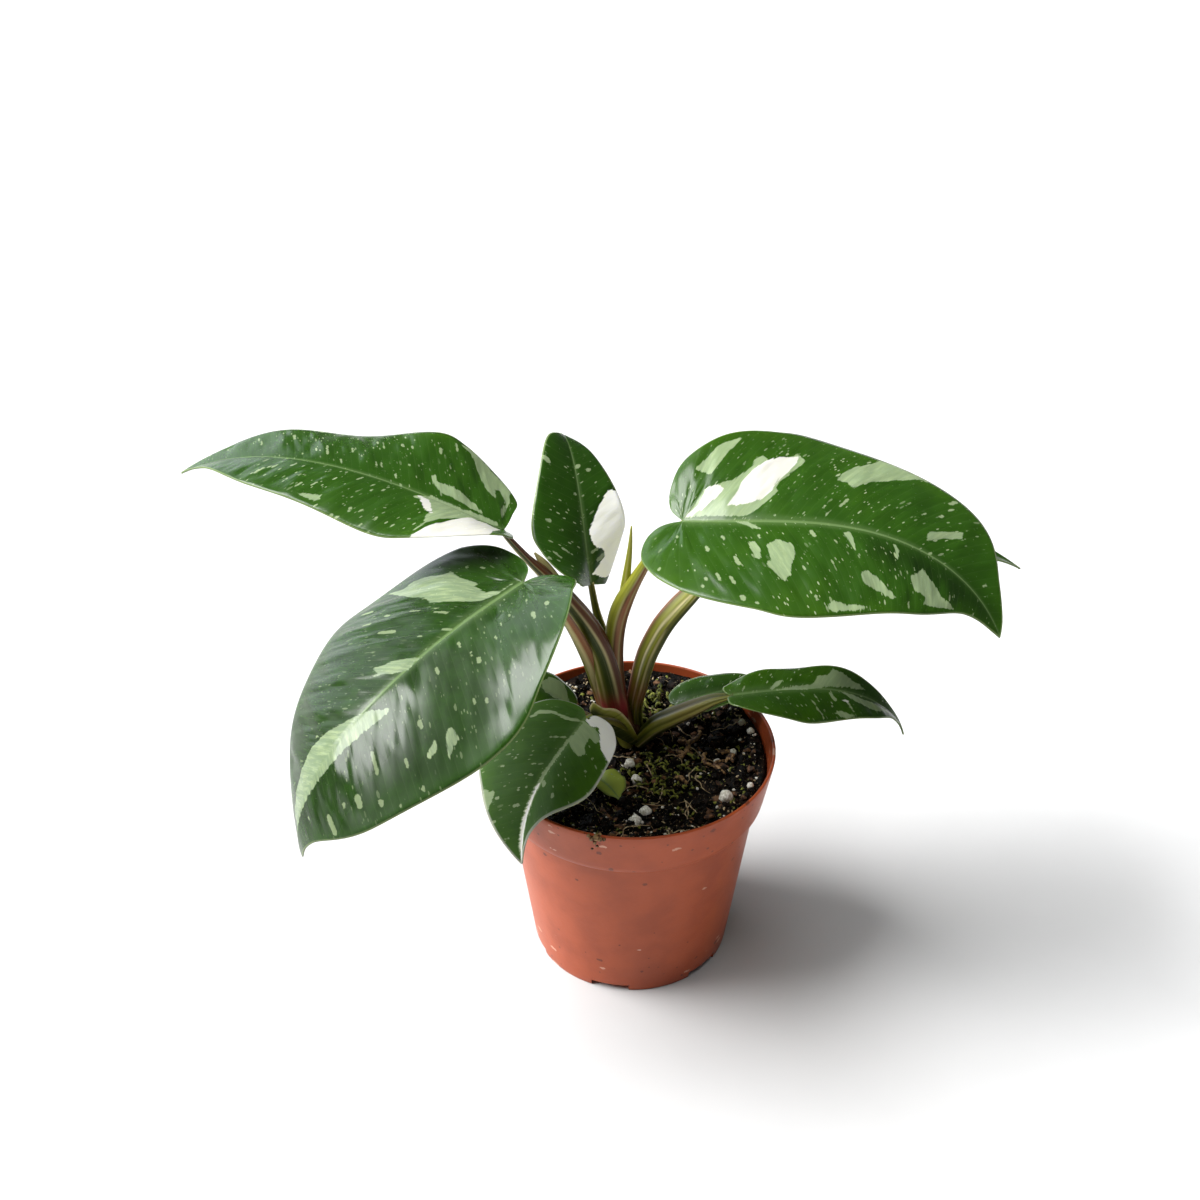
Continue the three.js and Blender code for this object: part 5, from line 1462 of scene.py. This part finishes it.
def strewing_tree():
    tree = bpy.data.node_groups.new("strew_grains", "GeometryNodeTree")
    face = tree.interface
    face.new_socket("Geometry", in_out="INPUT", socket_type="NodeSocketGeometry")
    for name, (kind, value) in STREW_INPUTS.items():
        socket = face.new_socket(name, in_out="INPUT", socket_type=kind)
        if value is not None:
            socket.default_value = value
    face.new_socket("Geometry", in_out="OUTPUT", socket_type="NodeSocketGeometry")
    given = add(tree, "NodeGroupInput").outputs

    # Points on the upper side, near enough to the axis
    upright = add(tree, "ShaderNodeSeparateXYZ", {0: add(tree, "GeometryNodeInputNormal")})
    level = add(tree, VECTORS, {0: add(tree, "GeometryNodeInputPosition"),
                                1: (1 / MM, 1 / MM, 0)}, operation="MULTIPLY")
    from_axis = add(tree, VECTORS, {0: level}, operation="LENGTH")
    within = add(tree, MATHS, {0: from_axis, 1: given["Farthest from the axis in mm"]},
                 operation="LESS_THAN")
    chosen = add(tree, MATHS, {0: upright.outputs[2], 1: within}, operation="MULTIPLY")
    on_top = add(tree, "FunctionNodeCompare", {0: chosen, 1: LEAST_UPRIGHT},
                 data_type="FLOAT", operation="GREATER_THAN")
    spots = add(tree, "GeometryNodeDistributePointsOnFaces",
                {"Mesh": given["Geometry"], "Selection": on_top,
                 "Density": given["Grains per square metre"], "Seed": given["Seed"]})

    # A ball on each, with its own size and turn
    size = add(tree, "FunctionNodeRandomValue",
               {2: given["Smallest share"], 3: 1.0, "Seed": given["Seed"]}, data_type="FLOAT")
    turn = add(tree, "FunctionNodeRandomValue",
               {0: (-LARGEST_LEAN, -LARGEST_LEAN, 0.0),
                1: (LARGEST_LEAN, LARGEST_LEAN, 2 * math.pi), "Seed": given["Seed"]},
               data_type="FLOAT_VECTOR")
    stretch = add(tree, "ShaderNodeCombineXYZ", {0: given["Length in mm"],
                                                 1: given["Width in mm"],
                                                 2: given["Height in mm"]})
    scale = add(tree, VECTORS, {0: stretch, "Scale": size}, operation="SCALE")
    ball = add(tree, "GeometryNodeMeshIcoSphere", {"Radius": 0.5 * MM, "Subdivisions": 2})
    placed = add(tree, "GeometryNodeInstanceOnPoints",
                 {"Points": spots, "Instance": ball, "Rotation": turn, "Scale": scale})
    real = add(tree, "GeometryNodeRealizeInstances", {0: placed})

    # Noise pushes the balls' points about, which makes them grains
    grit = add(tree, NOISE, {"Scale": 1 / (GRIT_SIZE * MM), "Detail": 2.0})
    centred = add(tree, VECTORS, {0: grit.outputs["Color"], 1: (-0.5, -0.5, -0.5)},
                  operation="ADD")
    reach = add(tree, MATHS, {0: given["Roughness in mm"], 1: 2 * MM}, operation="MULTIPLY")
    push = add(tree, VECTORS, {0: centred, "Scale": reach}, operation="SCALE")
    rough = add(tree, "GeometryNodeSetPosition", {"Geometry": real, "Offset": push})
    final = add(tree, "GeometryNodeSetMaterial", {"Geometry": rough, "Material": given["Finish"]})
    add(tree, "NodeGroupOutput", {0: final})
    return tree


strew_tree = strewing_tree()
print("the strewing tree has", len(strew_tree.nodes), "nodes")


# %% [markdown]
# Six kinds of grain come from the tree, each strewn over the whole bed. A holder carries the
# modifier for a moment, its evaluated shape is kept as a plain mesh, and the holder goes.

# %% Strew the grains
# Name, finish, grains a square metre, length, width, height, smallest share, roughness, seed and
# the farthest place from the axis, so that no grain reaches through the wall
GRAINS = (
    ("peat_clods", potting_mix, 3.0e4, 7.5, 5.5, 4.2, 0.35, 1.6, 3, 44),
    ("peat_crumbs", potting_mix, 2.2e5, 2.8, 2.1, 1.8, 0.3, 0.8, 4, 50),
    ("bark_flakes", bark, 3.4e4, 5.5, 2.8, 1.8, 0.3, 1.0, 11, 48),
    ("straw_bits", root_fibre, 6e4, 2.4, 0.9, 0.8, 0.25, 0.6, 17, 49.5),
    ("perlite_grains", perlite, 3.0e4, 1.6, 1.3, 1.2, 0.3, 0.4, 23, 50),
    ("moss_bits", moss, 6e4, 2.4, 1.3, 1.1, 0.3, 0.9, 29, 48.5),
)


def strew(name, surface, given):
    """Runs the tree over a surface and keeps its result as a plain mesh."""
    holder = show(name + "_holder", surface.data)
    modifier = holder.modifiers.new("strew", "NODES")
    modifier.node_group = strew_tree
    for item in strew_tree.interface.items_tree:
        if item.in_out == "INPUT" and item.name in given:
            modifier[item.identifier] = given[item.name]
    graph = bpy.context.evaluated_depsgraph_get()
    mesh = bpy.data.meshes.new_from_object(holder.evaluated_get(graph))
    bpy.data.objects.remove(holder)
    mesh.name = name
    return show(name, mesh)


number_inputs = [key for key in STREW_INPUTS if key != "Finish"]
for name, finish, *numbers in GRAINS:
    given = dict(zip(number_inputs, numbers), Finish=finish)
    hand_over(strew(name, soil, given), "potting_mix")

# %% [markdown]
# The larger perlite grains stand where the packed soil has them. Each is a ball of popped glass:
# round, chalk white, and dented all over. A clump of dry soil that hangs over the front of the
# rim, as it does after watering, is made in the same way from smaller balls.

# %% Larger perlite grains and the clump on the rim
# Place x and y and a diameter, sunk into the soil
LARGE_PERLITE = (
    (35, -23, 5.2), (39, 5, 3.2), (43, 19, 3.0), (46.5, 14.5, 3.0), (33, 2, 2.8),
    (44.5, -17, 2.6), (-1, -2, 4.4), (1.5, -9, 4.2), (4.5, -29, 4.6), (0.5, -35, 4.8),
)
PERLITE_RISE, PERLITE_DENT, DENTS_ACROSS = 0.22, 0.24, 2.6
# Place x, y and z and a diameter
RIM_CLUMP = (
    (-14, -53.6, 92.4, 2.4), (-12.4, -53.9, 92.0, 1.8), (-15.6, -53.3, 91.6, 1.9),
    (-14.4, -54.0, 90.4, 1.6), (-11.0, -54.3, 91.9, 1.2), (-16.8, -52.9, 92.6, 1.4),
    (-13.6, -54.2, 88.9, 1.1), (-15.4, -53.4, 86.8, 0.9), (-12.6, -52.6, 93.2, 1.6),
)
CLUMP_DENT, CLUMP_DENTS_PER_MM = 0.5, 1.5


def dented_ball(shape, place, size, detail, dent, dents_per_mm, draw_from):
    """Adds a ball to the shape. The noise that dents it is read from its own place there."""
    made = bmesh.ops.create_icosphere(shape, subdivisions=detail, radius=size / 2)["verts"]
    for corner in made:
        corner.co *= 1 + dent * noise.noise(corner.co * dents_per_mm + draw_from)
        corner.co += place


def keep_shape(name, shape, material):
    shape.verts.index_update()
    piece = make_piece(name, [tuple(v.co) for v in shape.verts],
                       [tuple(v.index for v in f.verts) for f in shape.faces], material)
    shape.free()
    return piece


shape = bmesh.new()
for x, y, size in LARGE_PERLITE:
    place = Vector((x, y, soil_height(x, y) + size * PERLITE_RISE))
    dented_ball(shape, place, size, 3, PERLITE_DENT, DENTS_ACROSS / size, Vector((x, y, 0)))
hand_over(keep_shape("large_perlite", shape, perlite), "potting_mix")
shape = bmesh.new()
for x, y, z, size in RIM_CLUMP:
    place = Vector((x, y, z))
    dented_ball(shape, place, size, 2, CLUMP_DENT, CLUMP_DENTS_PER_MM, place)
hand_over(keep_shape("rim_clump", shape, dry_brown), "potting_mix")

# %% [markdown]
# Root fibres, dried leaf sheaths and moss curl over the soil. Each is a thin tube on a wandering
# line: the line keeps its direction and turns a little at every step, with seeded draws.

# %% Fibres and moss
FIBRE_STEPS, FIBRE_SIDES = 14, 6
# A strand lies this high and arches up by this much at its middle, or down to a share of it
REST_HEIGHT, ARCH_HEIGHT, LOWEST_ARCH = 1.2, 1.6, 0.6
# Near the wall a strand turns back and steps in to this share of its distance
WALL_MARGIN, STEP_IN = 2, 0.97
SHORTEST_STRAND, THINNEST_END = 0.5, 0.35
# Name, how many, length and width in mm, curl in radians a step, middle and radius of the area
STRANDS = (
    ("root_fibres", 34, 20, 0.45, 0.35, (10, -8, 36), root_fibre),
    ("dry_sheaths", 9, 14, 2.0, 0.7, (22, 2, 18), dry_brown),
    ("moss_front", 70, 6, 0.9, 0.7, (13, -6, 15), moss),
    ("moss_back", 45, 6, 1.2, 0.7, (9, 28, 10), moss),
)
draws = np.random.default_rng(5)


def wandering(x, y, length, curl):
    heading = draws.uniform(0, 2 * math.pi)
    places = []
    for i in range(FIBRE_STEPS + 1):
        arch = math.sin(math.pi * i / FIBRE_STEPS) * draws.uniform(LOWEST_ARCH, 1)
        places.append((x, y, soil_height(x, y) + (REST_HEIGHT + ARCH_HEIGHT * arch)))
        heading += draws.normal(0, curl)
        x += length / FIBRE_STEPS * math.cos(heading)
        y += length / FIBRE_STEPS * math.sin(heading)
        if math.hypot(x, y) > soil_radius - WALL_MARGIN:
            heading += math.pi / 2
            x, y = x * STEP_IN, y * STEP_IN
    return np.array(places)


def strands(name, count, length, width, curl, area, material):
    """Several wandering tubes joined in one mesh."""
    points, faces = np.zeros((0, 3)), []
    for _ in range(count):
        angle, reach = draws.uniform(0, 2 * math.pi), area[2] * math.sqrt(draws.uniform())
        x, y = area[0] + reach * math.cos(angle), area[1] + reach * math.sin(angle)
        line = wandering(x, y, length * draws.uniform(SHORTEST_STRAND, 1), curl)

        def reach_at(i, forward, angles):
            side = np.cross(forward, (0, 0, 1))
            side /= np.linalg.norm(side)
            swell = math.sin(math.pi * (i + 0.5) / len(line))
            taper = width / 2 * (THINNEST_END + (1 - THINNEST_END) * swell)
            ring = np.outer(np.cos(angles), side)
            return taper * (ring + np.outer(np.sin(angles), np.cross(side, forward)))

        more, joined, _ = tube(line, FIBRE_SIDES, reach_at)
        faces += [tuple(c + len(points) for c in f) for f in joined]
        points = np.vstack([points, more])
    return make_piece(name, points, faces, material)


for kind in STRANDS:
    hand_over(strands(*kind), "potting_mix")

# %% [markdown]
# The pot is one turned wall with a deeper band at the rim, and a foot ring that is cut by six
# notches, with six round drain holes between them. It could be screwed round by a modifier, but
# a turned outline in code keeps every size named. The cuts are booleans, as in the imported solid.

# %% Pot outline
POT_SEGMENTS = 192
CENTRE_PAD_RADIUS, PAD_SLOPE = 11, 1
# Small bevels where the wall turns a corner
RING_SLOPE, FOOT_BEVEL, FOOT_EASE, STEP_EASE, STEP_BEVEL = 0.5, 0.7, 0.2, 0.3, 0.35
BODY_ROWS, BAND_ROWS, LIP_STEPS, LIP_DROP = 24, 8, 10, 1


def pot_outline():
    """Radius and height, from the middle of the underside round the rim to the inner floor."""
    foot_inner = FOOT_RADIUS - FOOT_WIDTH
    step_top = BODY_HEIGHT + WALL
    outer = [(0, 0), (CENTRE_PAD_RADIUS, 0), (CENTRE_PAD_RADIUS + PAD_SLOPE, FLOOR_RISE),
             (foot_inner - RING_SLOPE, FLOOR_RISE), (foot_inner, 0), (FOOT_RADIUS - FOOT_BEVEL, 0),
             (FOOT_RADIUS - FOOT_EASE, FOOT_EASE), (FOOT_RADIUS, FOOT_BEVEL)]
    for step in range(1, BODY_ROWS):
        share = step / BODY_ROWS
        outer.append((FOOT_RADIUS + (BODY_TOP_RADIUS - FOOT_RADIUS) * share, BODY_HEIGHT * share))
    outer += [(BODY_TOP_RADIUS, BODY_HEIGHT - STEP_EASE),
              (BODY_TOP_RADIUS + STEP_BEVEL, BODY_HEIGHT),
              (BAND_FOOT_RADIUS - RING_SLOPE, BODY_HEIGHT),
              (BAND_FOOT_RADIUS, BODY_HEIGHT + RING_SLOPE)]
    for step in range(1, BAND_ROWS):
        share = step / BAND_ROWS
        outer.append((BAND_FOOT_RADIUS + (RIM_RADIUS - BAND_FOOT_RADIUS) * share,
                      BODY_HEIGHT + (BAND_HEIGHT - LIP_DROP) * share))
    for step in range(LIP_STEPS + 1):
        t = math.radians(180 * step / LIP_STEPS)
        outer.append((RIM_RADIUS - WALL / 2 + WALL / 2 * math.cos(t),
                      POT_HEIGHT - WALL / 2 + WALL / 2 * math.sin(t)))
    outer += [(inner_radius(step_top), step_top),
              (inner_radius(BODY_HEIGHT), BODY_HEIGHT - WALL),
              (inner_radius(FLOOR_TOP), FLOOR_TOP), (0, FLOOR_TOP)]
    return outer


print("the pot's outline has", len(pot_outline()), "corners")


# %% [markdown]
# The pot is moulded polypropylene coloured like clay. It is a smooth, slightly waxy plastic:
# a broad soft shine, faint flow marks from the mould, and after use a dusting of soil. Dark
# specks and pale lime spots gather near the rim and the foot. Above the soil the inner wall is
# darkened as painted shade.

# %% Moulded polypropylene
CLAY_ORANGE, CLAY_DEEP, SOIL_SPECK_AND_SHADE, LIME_SPOT = 0xA94C25, 0x9B4421, 0x3A1C12, 0xD8B098
CLOUD_SIZE, FINE_SIZE = 14, 1.6
# Cell size in mm, share of cells with a spot, colour, shift of the pattern, how flat a spot is
SPOT_KINDS = ((4.2, 0.12, SOIL_SPECK_AND_SHADE, 0, 1.3), (1.9, 0.08, SOIL_SPECK_AND_SHADE, 5, 1),
              (6.5, 0.18, LIME_SPOT, 9, 2.6))
# Spots are dense from these heights to these ones, and elsewhere they have this share
FOOT_DIRT, RIM_DIRT, LEAST_DIRT = (26, 2), (62, 90), 0.12
SPOT_STRENGTH = 0.6
# How far the inner wall above the soil is darkened towards the speck brown, as painted shade, and
# where it starts and is full
INNER_PAINTED_SHADE, PAINTED_SHADE_HEIGHTS = 0.35, (74, 80)
PLASTIC_IOR, SHINIEST_PLASTIC, DULLEST_PLASTIC = 1.42, 0.34, 0.44


def pot_spots(tree, place, height, fine, colour):
    near_foot = add(tree, RANGE, {0: height, 1: FOOT_DIRT[0], 2: FOOT_DIRT[1]},
                    interpolation_type="SMOOTHSTEP")
    near_foot = add(tree, MATHS, {0: near_foot, 1: 1 - LEAST_DIRT, 2: LEAST_DIRT},
                    operation="MULTIPLY_ADD")
    near_rim = add(tree, RANGE, {0: height, 1: RIM_DIRT[0], 2: RIM_DIRT[1]},
                   interpolation_type="SMOOTHSTEP")
    dusty = add(tree, MATHS, {0: near_foot, 1: near_rim}, operation="MAXIMUM")
    for size, share, paint, shift, flatness in SPOT_KINDS:
        moved = add(tree, VECTORS, {0: place, 1: (1, 1, flatness), 2: (shift, shift, shift)},
                    operation="MULTIPLY_ADD")
        cells = add(tree, CELLS, {"Vector": moved, "Scale": 1 / (size * MM)})
        draw = add(tree, "ShaderNodeSeparateColor", {0: cells.outputs["Color"]})
        limit = add(tree, MATHS, {0: dusty, 1: -share, 2: 1.0}, operation="MULTIPLY_ADD")
        chosen = add(tree, MATHS, {0: draw, 1: limit}, operation="GREATER_THAN")
        reach = add(tree, MATHS, {0: draw.outputs[1], 1: 0.16}, operation="MULTIPLY")
        reach = add(tree, MATHS, {0: fine, 1: 0.55, 2: reach}, operation="MULTIPLY_ADD")
        inside = add(tree, MATHS, {0: reach, 1: cells}, operation="SUBTRACT")
        spot = add(tree, RANGE, {0: inside, 1: 0.08, 2: 0.16}, interpolation_type="SMOOTHSTEP")
        spot = add(tree, MATHS, {0: spot, 1: chosen}, operation="MULTIPLY")
        spot = add(tree, MATHS, {0: spot, 1: SPOT_STRENGTH}, operation="MULTIPLY")
        colour = add(tree, MIX, {0: spot, 6: colour, 7: linear(paint)}, data_type="RGBA")
    return colour


def inner_wall(tree, place, height):
    """A mask of all that lies inside the middle of the sloping rim band and above the soil."""
    level = add(tree, VECTORS, {0: place, 1: (1 / MM, 1 / MM, 0)}, operation="MULTIPLY")
    from_axis = add(tree, VECTORS, {0: level}, operation="LENGTH")
    slope = (RIM_RADIUS - BAND_FOOT_RADIUS) / BAND_HEIGHT
    wall_middle = RIM_RADIUS - WALL / 2 - slope * POT_HEIGHT
    beyond = add(tree, MATHS, {0: height, 1: -slope, 2: from_axis}, operation="MULTIPLY_ADD")
    inside = add(tree, RANGE, {0: beyond, 1: wall_middle + 0.1, 2: wall_middle - 0.3},
                 interpolation_type="SMOOTHSTEP")
    above = add(tree, RANGE, {0: height, 1: PAINTED_SHADE_HEIGHTS[0], 2: PAINTED_SHADE_HEIGHTS[1]},
                interpolation_type="SMOOTHSTEP")
    return add(tree, MATHS, {0: inside, 1: above}, operation="MULTIPLY")


def pot_material():
    material, tree = start_material("moulded polypropylene")
    place = add(tree, "ShaderNodeTexCoord").outputs["Object"]
    upward = add(tree, "ShaderNodeSeparateXYZ", {0: place}).outputs[2]
    height = add(tree, MATHS, {0: upward, 1: 1 / MM}, operation="MULTIPLY")
    cloud = add(tree, NOISE, {"Vector": place, "Scale": 1 / (CLOUD_SIZE * MM), "Detail": 5.0})
    fine = add(tree, NOISE, {"Vector": place, "Scale": 1 / (FINE_SIZE * MM), "Detail": 4.0})
    colour = coat(tree, linear(CLAY_ORANGE), linear(CLAY_DEEP), cloud, 0.35, 0.7)
    colour = pot_spots(tree, place, height, fine, colour)
    # Painted shade: the inner wall above the soil is darkened with the speck brown
    inner_shade = add(tree, MATHS, {0: inner_wall(tree, place, height), 1: INNER_PAINTED_SHADE},
                operation="MULTIPLY")
    colour = add(tree, MIX, {0: inner_shade, 6: colour, 7: linear(SOIL_SPECK_AND_SHADE)}, data_type="RGBA")
    bump = add(tree, BUMP, {"Strength": 0.25, "Distance": 0.2 * MM, "Height": fine})
    sheen = add(tree, RANGE, {0: cloud, 3: SHINIEST_PLASTIC, 4: DULLEST_PLASTIC})
    plastic = add(tree, SURFACE, {"Base Color": colour, "Roughness": sheen, "IOR": PLASTIC_IOR,
                                  "Normal": bump})
    return end_material(material, tree, plastic)


pot_plastic = pot_material()


# %% [markdown]
# Six blocks cut the notches in the foot ring and six short rods drill the drain holes. All of
# them are one cutter, so that a single boolean does the work.

# %% Make the pot
DRAIN_COUNT, DRAIN_HOLE_RADIUS, DRAIN_RING_RADIUS, HOLE_SIDES = 6, 3, 24, 32
NOTCH_WIDTH, NOTCH_HEIGHT, FIRST_NOTCH_ANGLE = 15, 3, -103
# Edges sharper than this many degrees stay crisp
SHARP_EDGE = 40


def pot_cutters():
    shape = bmesh.new()
    for i in range(DRAIN_COUNT):
        turn = math.radians(FIRST_NOTCH_ANGLE + i * 360 / DRAIN_COUNT)
        size = Vector((FOOT_WIDTH * 4, NOTCH_WIDTH, NOTCH_HEIGHT * 2)) * MM
        place = Matrix.Rotation(turn, 4, "Z") @ Matrix.Translation((FOOT_RADIUS * MM, 0, 0))
        bmesh.ops.create_cube(shape, size=1, matrix=place @ Matrix.Diagonal((*size, 1)))
        turn += math.pi / DRAIN_COUNT
        place = Matrix.Rotation(turn, 4, "Z")
        place = place @ Matrix.Translation((DRAIN_RING_RADIUS * MM, 0, 0))
        bmesh.ops.create_cone(shape, segments=HOLE_SIDES, cap_ends=True,
                              depth=FLOOR_TOP * 4 * MM, radius1=DRAIN_HOLE_RADIUS * MM,
                              radius2=DRAIN_HOLE_RADIUS * MM, matrix=place)
    mesh = bpy.data.meshes.new("pot_cutters")
    shape.to_mesh(mesh)
    shape.free()
    return show("pot_cutters", mesh)


def cut_away(piece, cutter):
    """Takes one object's solid out of another's with a boolean, and keeps a plain mesh."""
    modifier = piece.modifiers.new("cut", "BOOLEAN")
    modifier.operation, modifier.object, modifier.solver = "DIFFERENCE", cutter, "EXACT"
    graph = bpy.context.evaluated_depsgraph_get()
    cut = bpy.data.meshes.new_from_object(piece.evaluated_get(graph))
    piece.modifiers.remove(modifier)
    piece.data = cut
    bpy.data.objects.remove(cutter)


points, faces = turned(pot_outline(), POT_SEGMENTS)
pot = make_piece("nursery_pot", points, faces, pot_plastic)
cut_away(pot, pot_cutters())
pot.data.shade_smooth()
pot.data.set_sharp_from_angle(angle=math.radians(SHARP_EDGE))
hand_over(pot, "pot_plastic", "pot")

# %% [markdown]
# The photograph has a plain white floor. Matt paper isn't a perfectly even white, so the floor's
# tone wavers a little between two close greys.

# %% Floor
# The floor's width is in metres, like the lamps' sizes and distances below
FLOOR_SIZE = 12.0
PAPER_WHITE, PAPER_SHADE, PAPER_GRAIN = 0xC5C5C5, 0xC1C1C1, 2.5
floor_mesh = bpy.data.meshes.new("studio_floor")
reach = FLOOR_SIZE / 2
floor_mesh.from_pydata([(-reach, -reach, 0), (reach, -reach, 0), (reach, reach, 0),
                        (-reach, reach, 0)], [], [(0, 1, 2, 3)])
floor = show("studio_floor", floor_mesh)
paper, tree = start_material("matt white paper")
grain = add(tree, NOISE, {"Scale": 1 / (PAPER_GRAIN * MM)})
tone = add(tree, MIX, {0: grain, 6: linear(PAPER_SHADE), 7: linear(PAPER_WHITE)},
           data_type="RGBA")
end_material(paper, tree, add(tree, SURFACE, {"Base Color": tone, "Roughness": 0.9,
                                              "Specular IOR Level": 0.1}))
floor_mesh.materials.append(paper)

# %% [markdown]
# One broad light comes from the left, so the shadow falls to the right. A sun lamp with a wide
# disc gives that soft-edged shadow, as a big window does. A lit disc behind on the left is the
# white wall that the glossy leaves mirror, another one overhead is the ceiling, and a dim white
# sky fills what is left of the shade.

# %% Light
# Where each light stands, seen from the plant: degrees from +X, and degrees above the floor
KEY_HEADING, KEY_HEIGHT = 180, 45
KEY_SPREAD, KEY_STRENGTH = 42, 8.1
WALL_HEADING, WALL_HEIGHT, WALL_DISTANCE = 130, 18, 2.5
WALL_SIZE, WALL_POWER, WALL_TINT = 2.2, 23.0, (0.86, 0.94, 1.0)
FILL_HEADING, FILL_HEIGHT, FILL_DISTANCE = -118, 86, 2.5
FILL_SIZE, FILL_POWER = 2.4, 37.0
SKY_LIGHT = 0.1


def direction(heading, height):
    turn, rise = math.radians(heading), math.radians(height)
    return Vector((math.cos(rise) * math.cos(turn), math.cos(rise) * math.sin(turn),
                   math.sin(rise)))


def add_lamp(name, kind, place, **settings):
    lamp = bpy.data.lights.new(name, kind)
    for key, value in settings.items():
        setattr(lamp, key, value)
    holder = show(name, lamp)
    holder.location = place
    holder.rotation_euler = (-place).to_track_quat("-Z", "Y").to_euler()
    return holder


add_lamp("window_left", "SUN", direction(KEY_HEADING, KEY_HEIGHT),
         energy=KEY_STRENGTH, angle=math.radians(KEY_SPREAD))
add_lamp("white_wall", "AREA", direction(WALL_HEADING, WALL_HEIGHT) * WALL_DISTANCE,
         energy=WALL_POWER, shape="DISK", size=WALL_SIZE, color=WALL_TINT)
ceiling = add_lamp("ceiling_fill", "AREA",
                   direction(FILL_HEADING, FILL_HEIGHT) * FILL_DISTANCE,
                   energy=FILL_POWER, shape="DISK", size=FILL_SIZE)
# The ceiling lights the shade but isn't mirrored, so that the greens stay deep
ceiling.visible_glossy = False
world = bpy.data.worlds.new("white_room")
world.use_nodes = True
world.node_tree.nodes["Background"].inputs[0].default_value = (1, 1, 1, 1)
world.node_tree.nodes["Background"].inputs[1].default_value = SKY_LIGHT
bpy.context.scene.world = world
print(len(bpy.data.lights), "lamps and a sky")

# %% [markdown]
# The camera stands where the photographer's stood: level from side to side, above and in front
# of the plant, with a longish lens. Colours are shown as they are, without a film look.

# %% Camera
# Millimetres, and degrees below the level
CAMERA_PLACE, CAMERA_DOWN = Vector((-12.5, -604.6, 570.9)), 34.2
LENS, SENSOR = 60, 36
camera_data = bpy.data.cameras.new("camera")
camera_data.lens, camera_data.sensor_width = LENS, SENSOR
camera = show("camera", camera_data)
camera.location = CAMERA_PLACE * MM
camera.rotation_euler = (math.radians(90 - CAMERA_DOWN), 0, 0)
bpy.context.scene.camera = camera
bpy.context.scene.view_settings.view_transform = "Standard"
print("the camera stands", round(camera.location.length, 2), "m from the pot's foot")
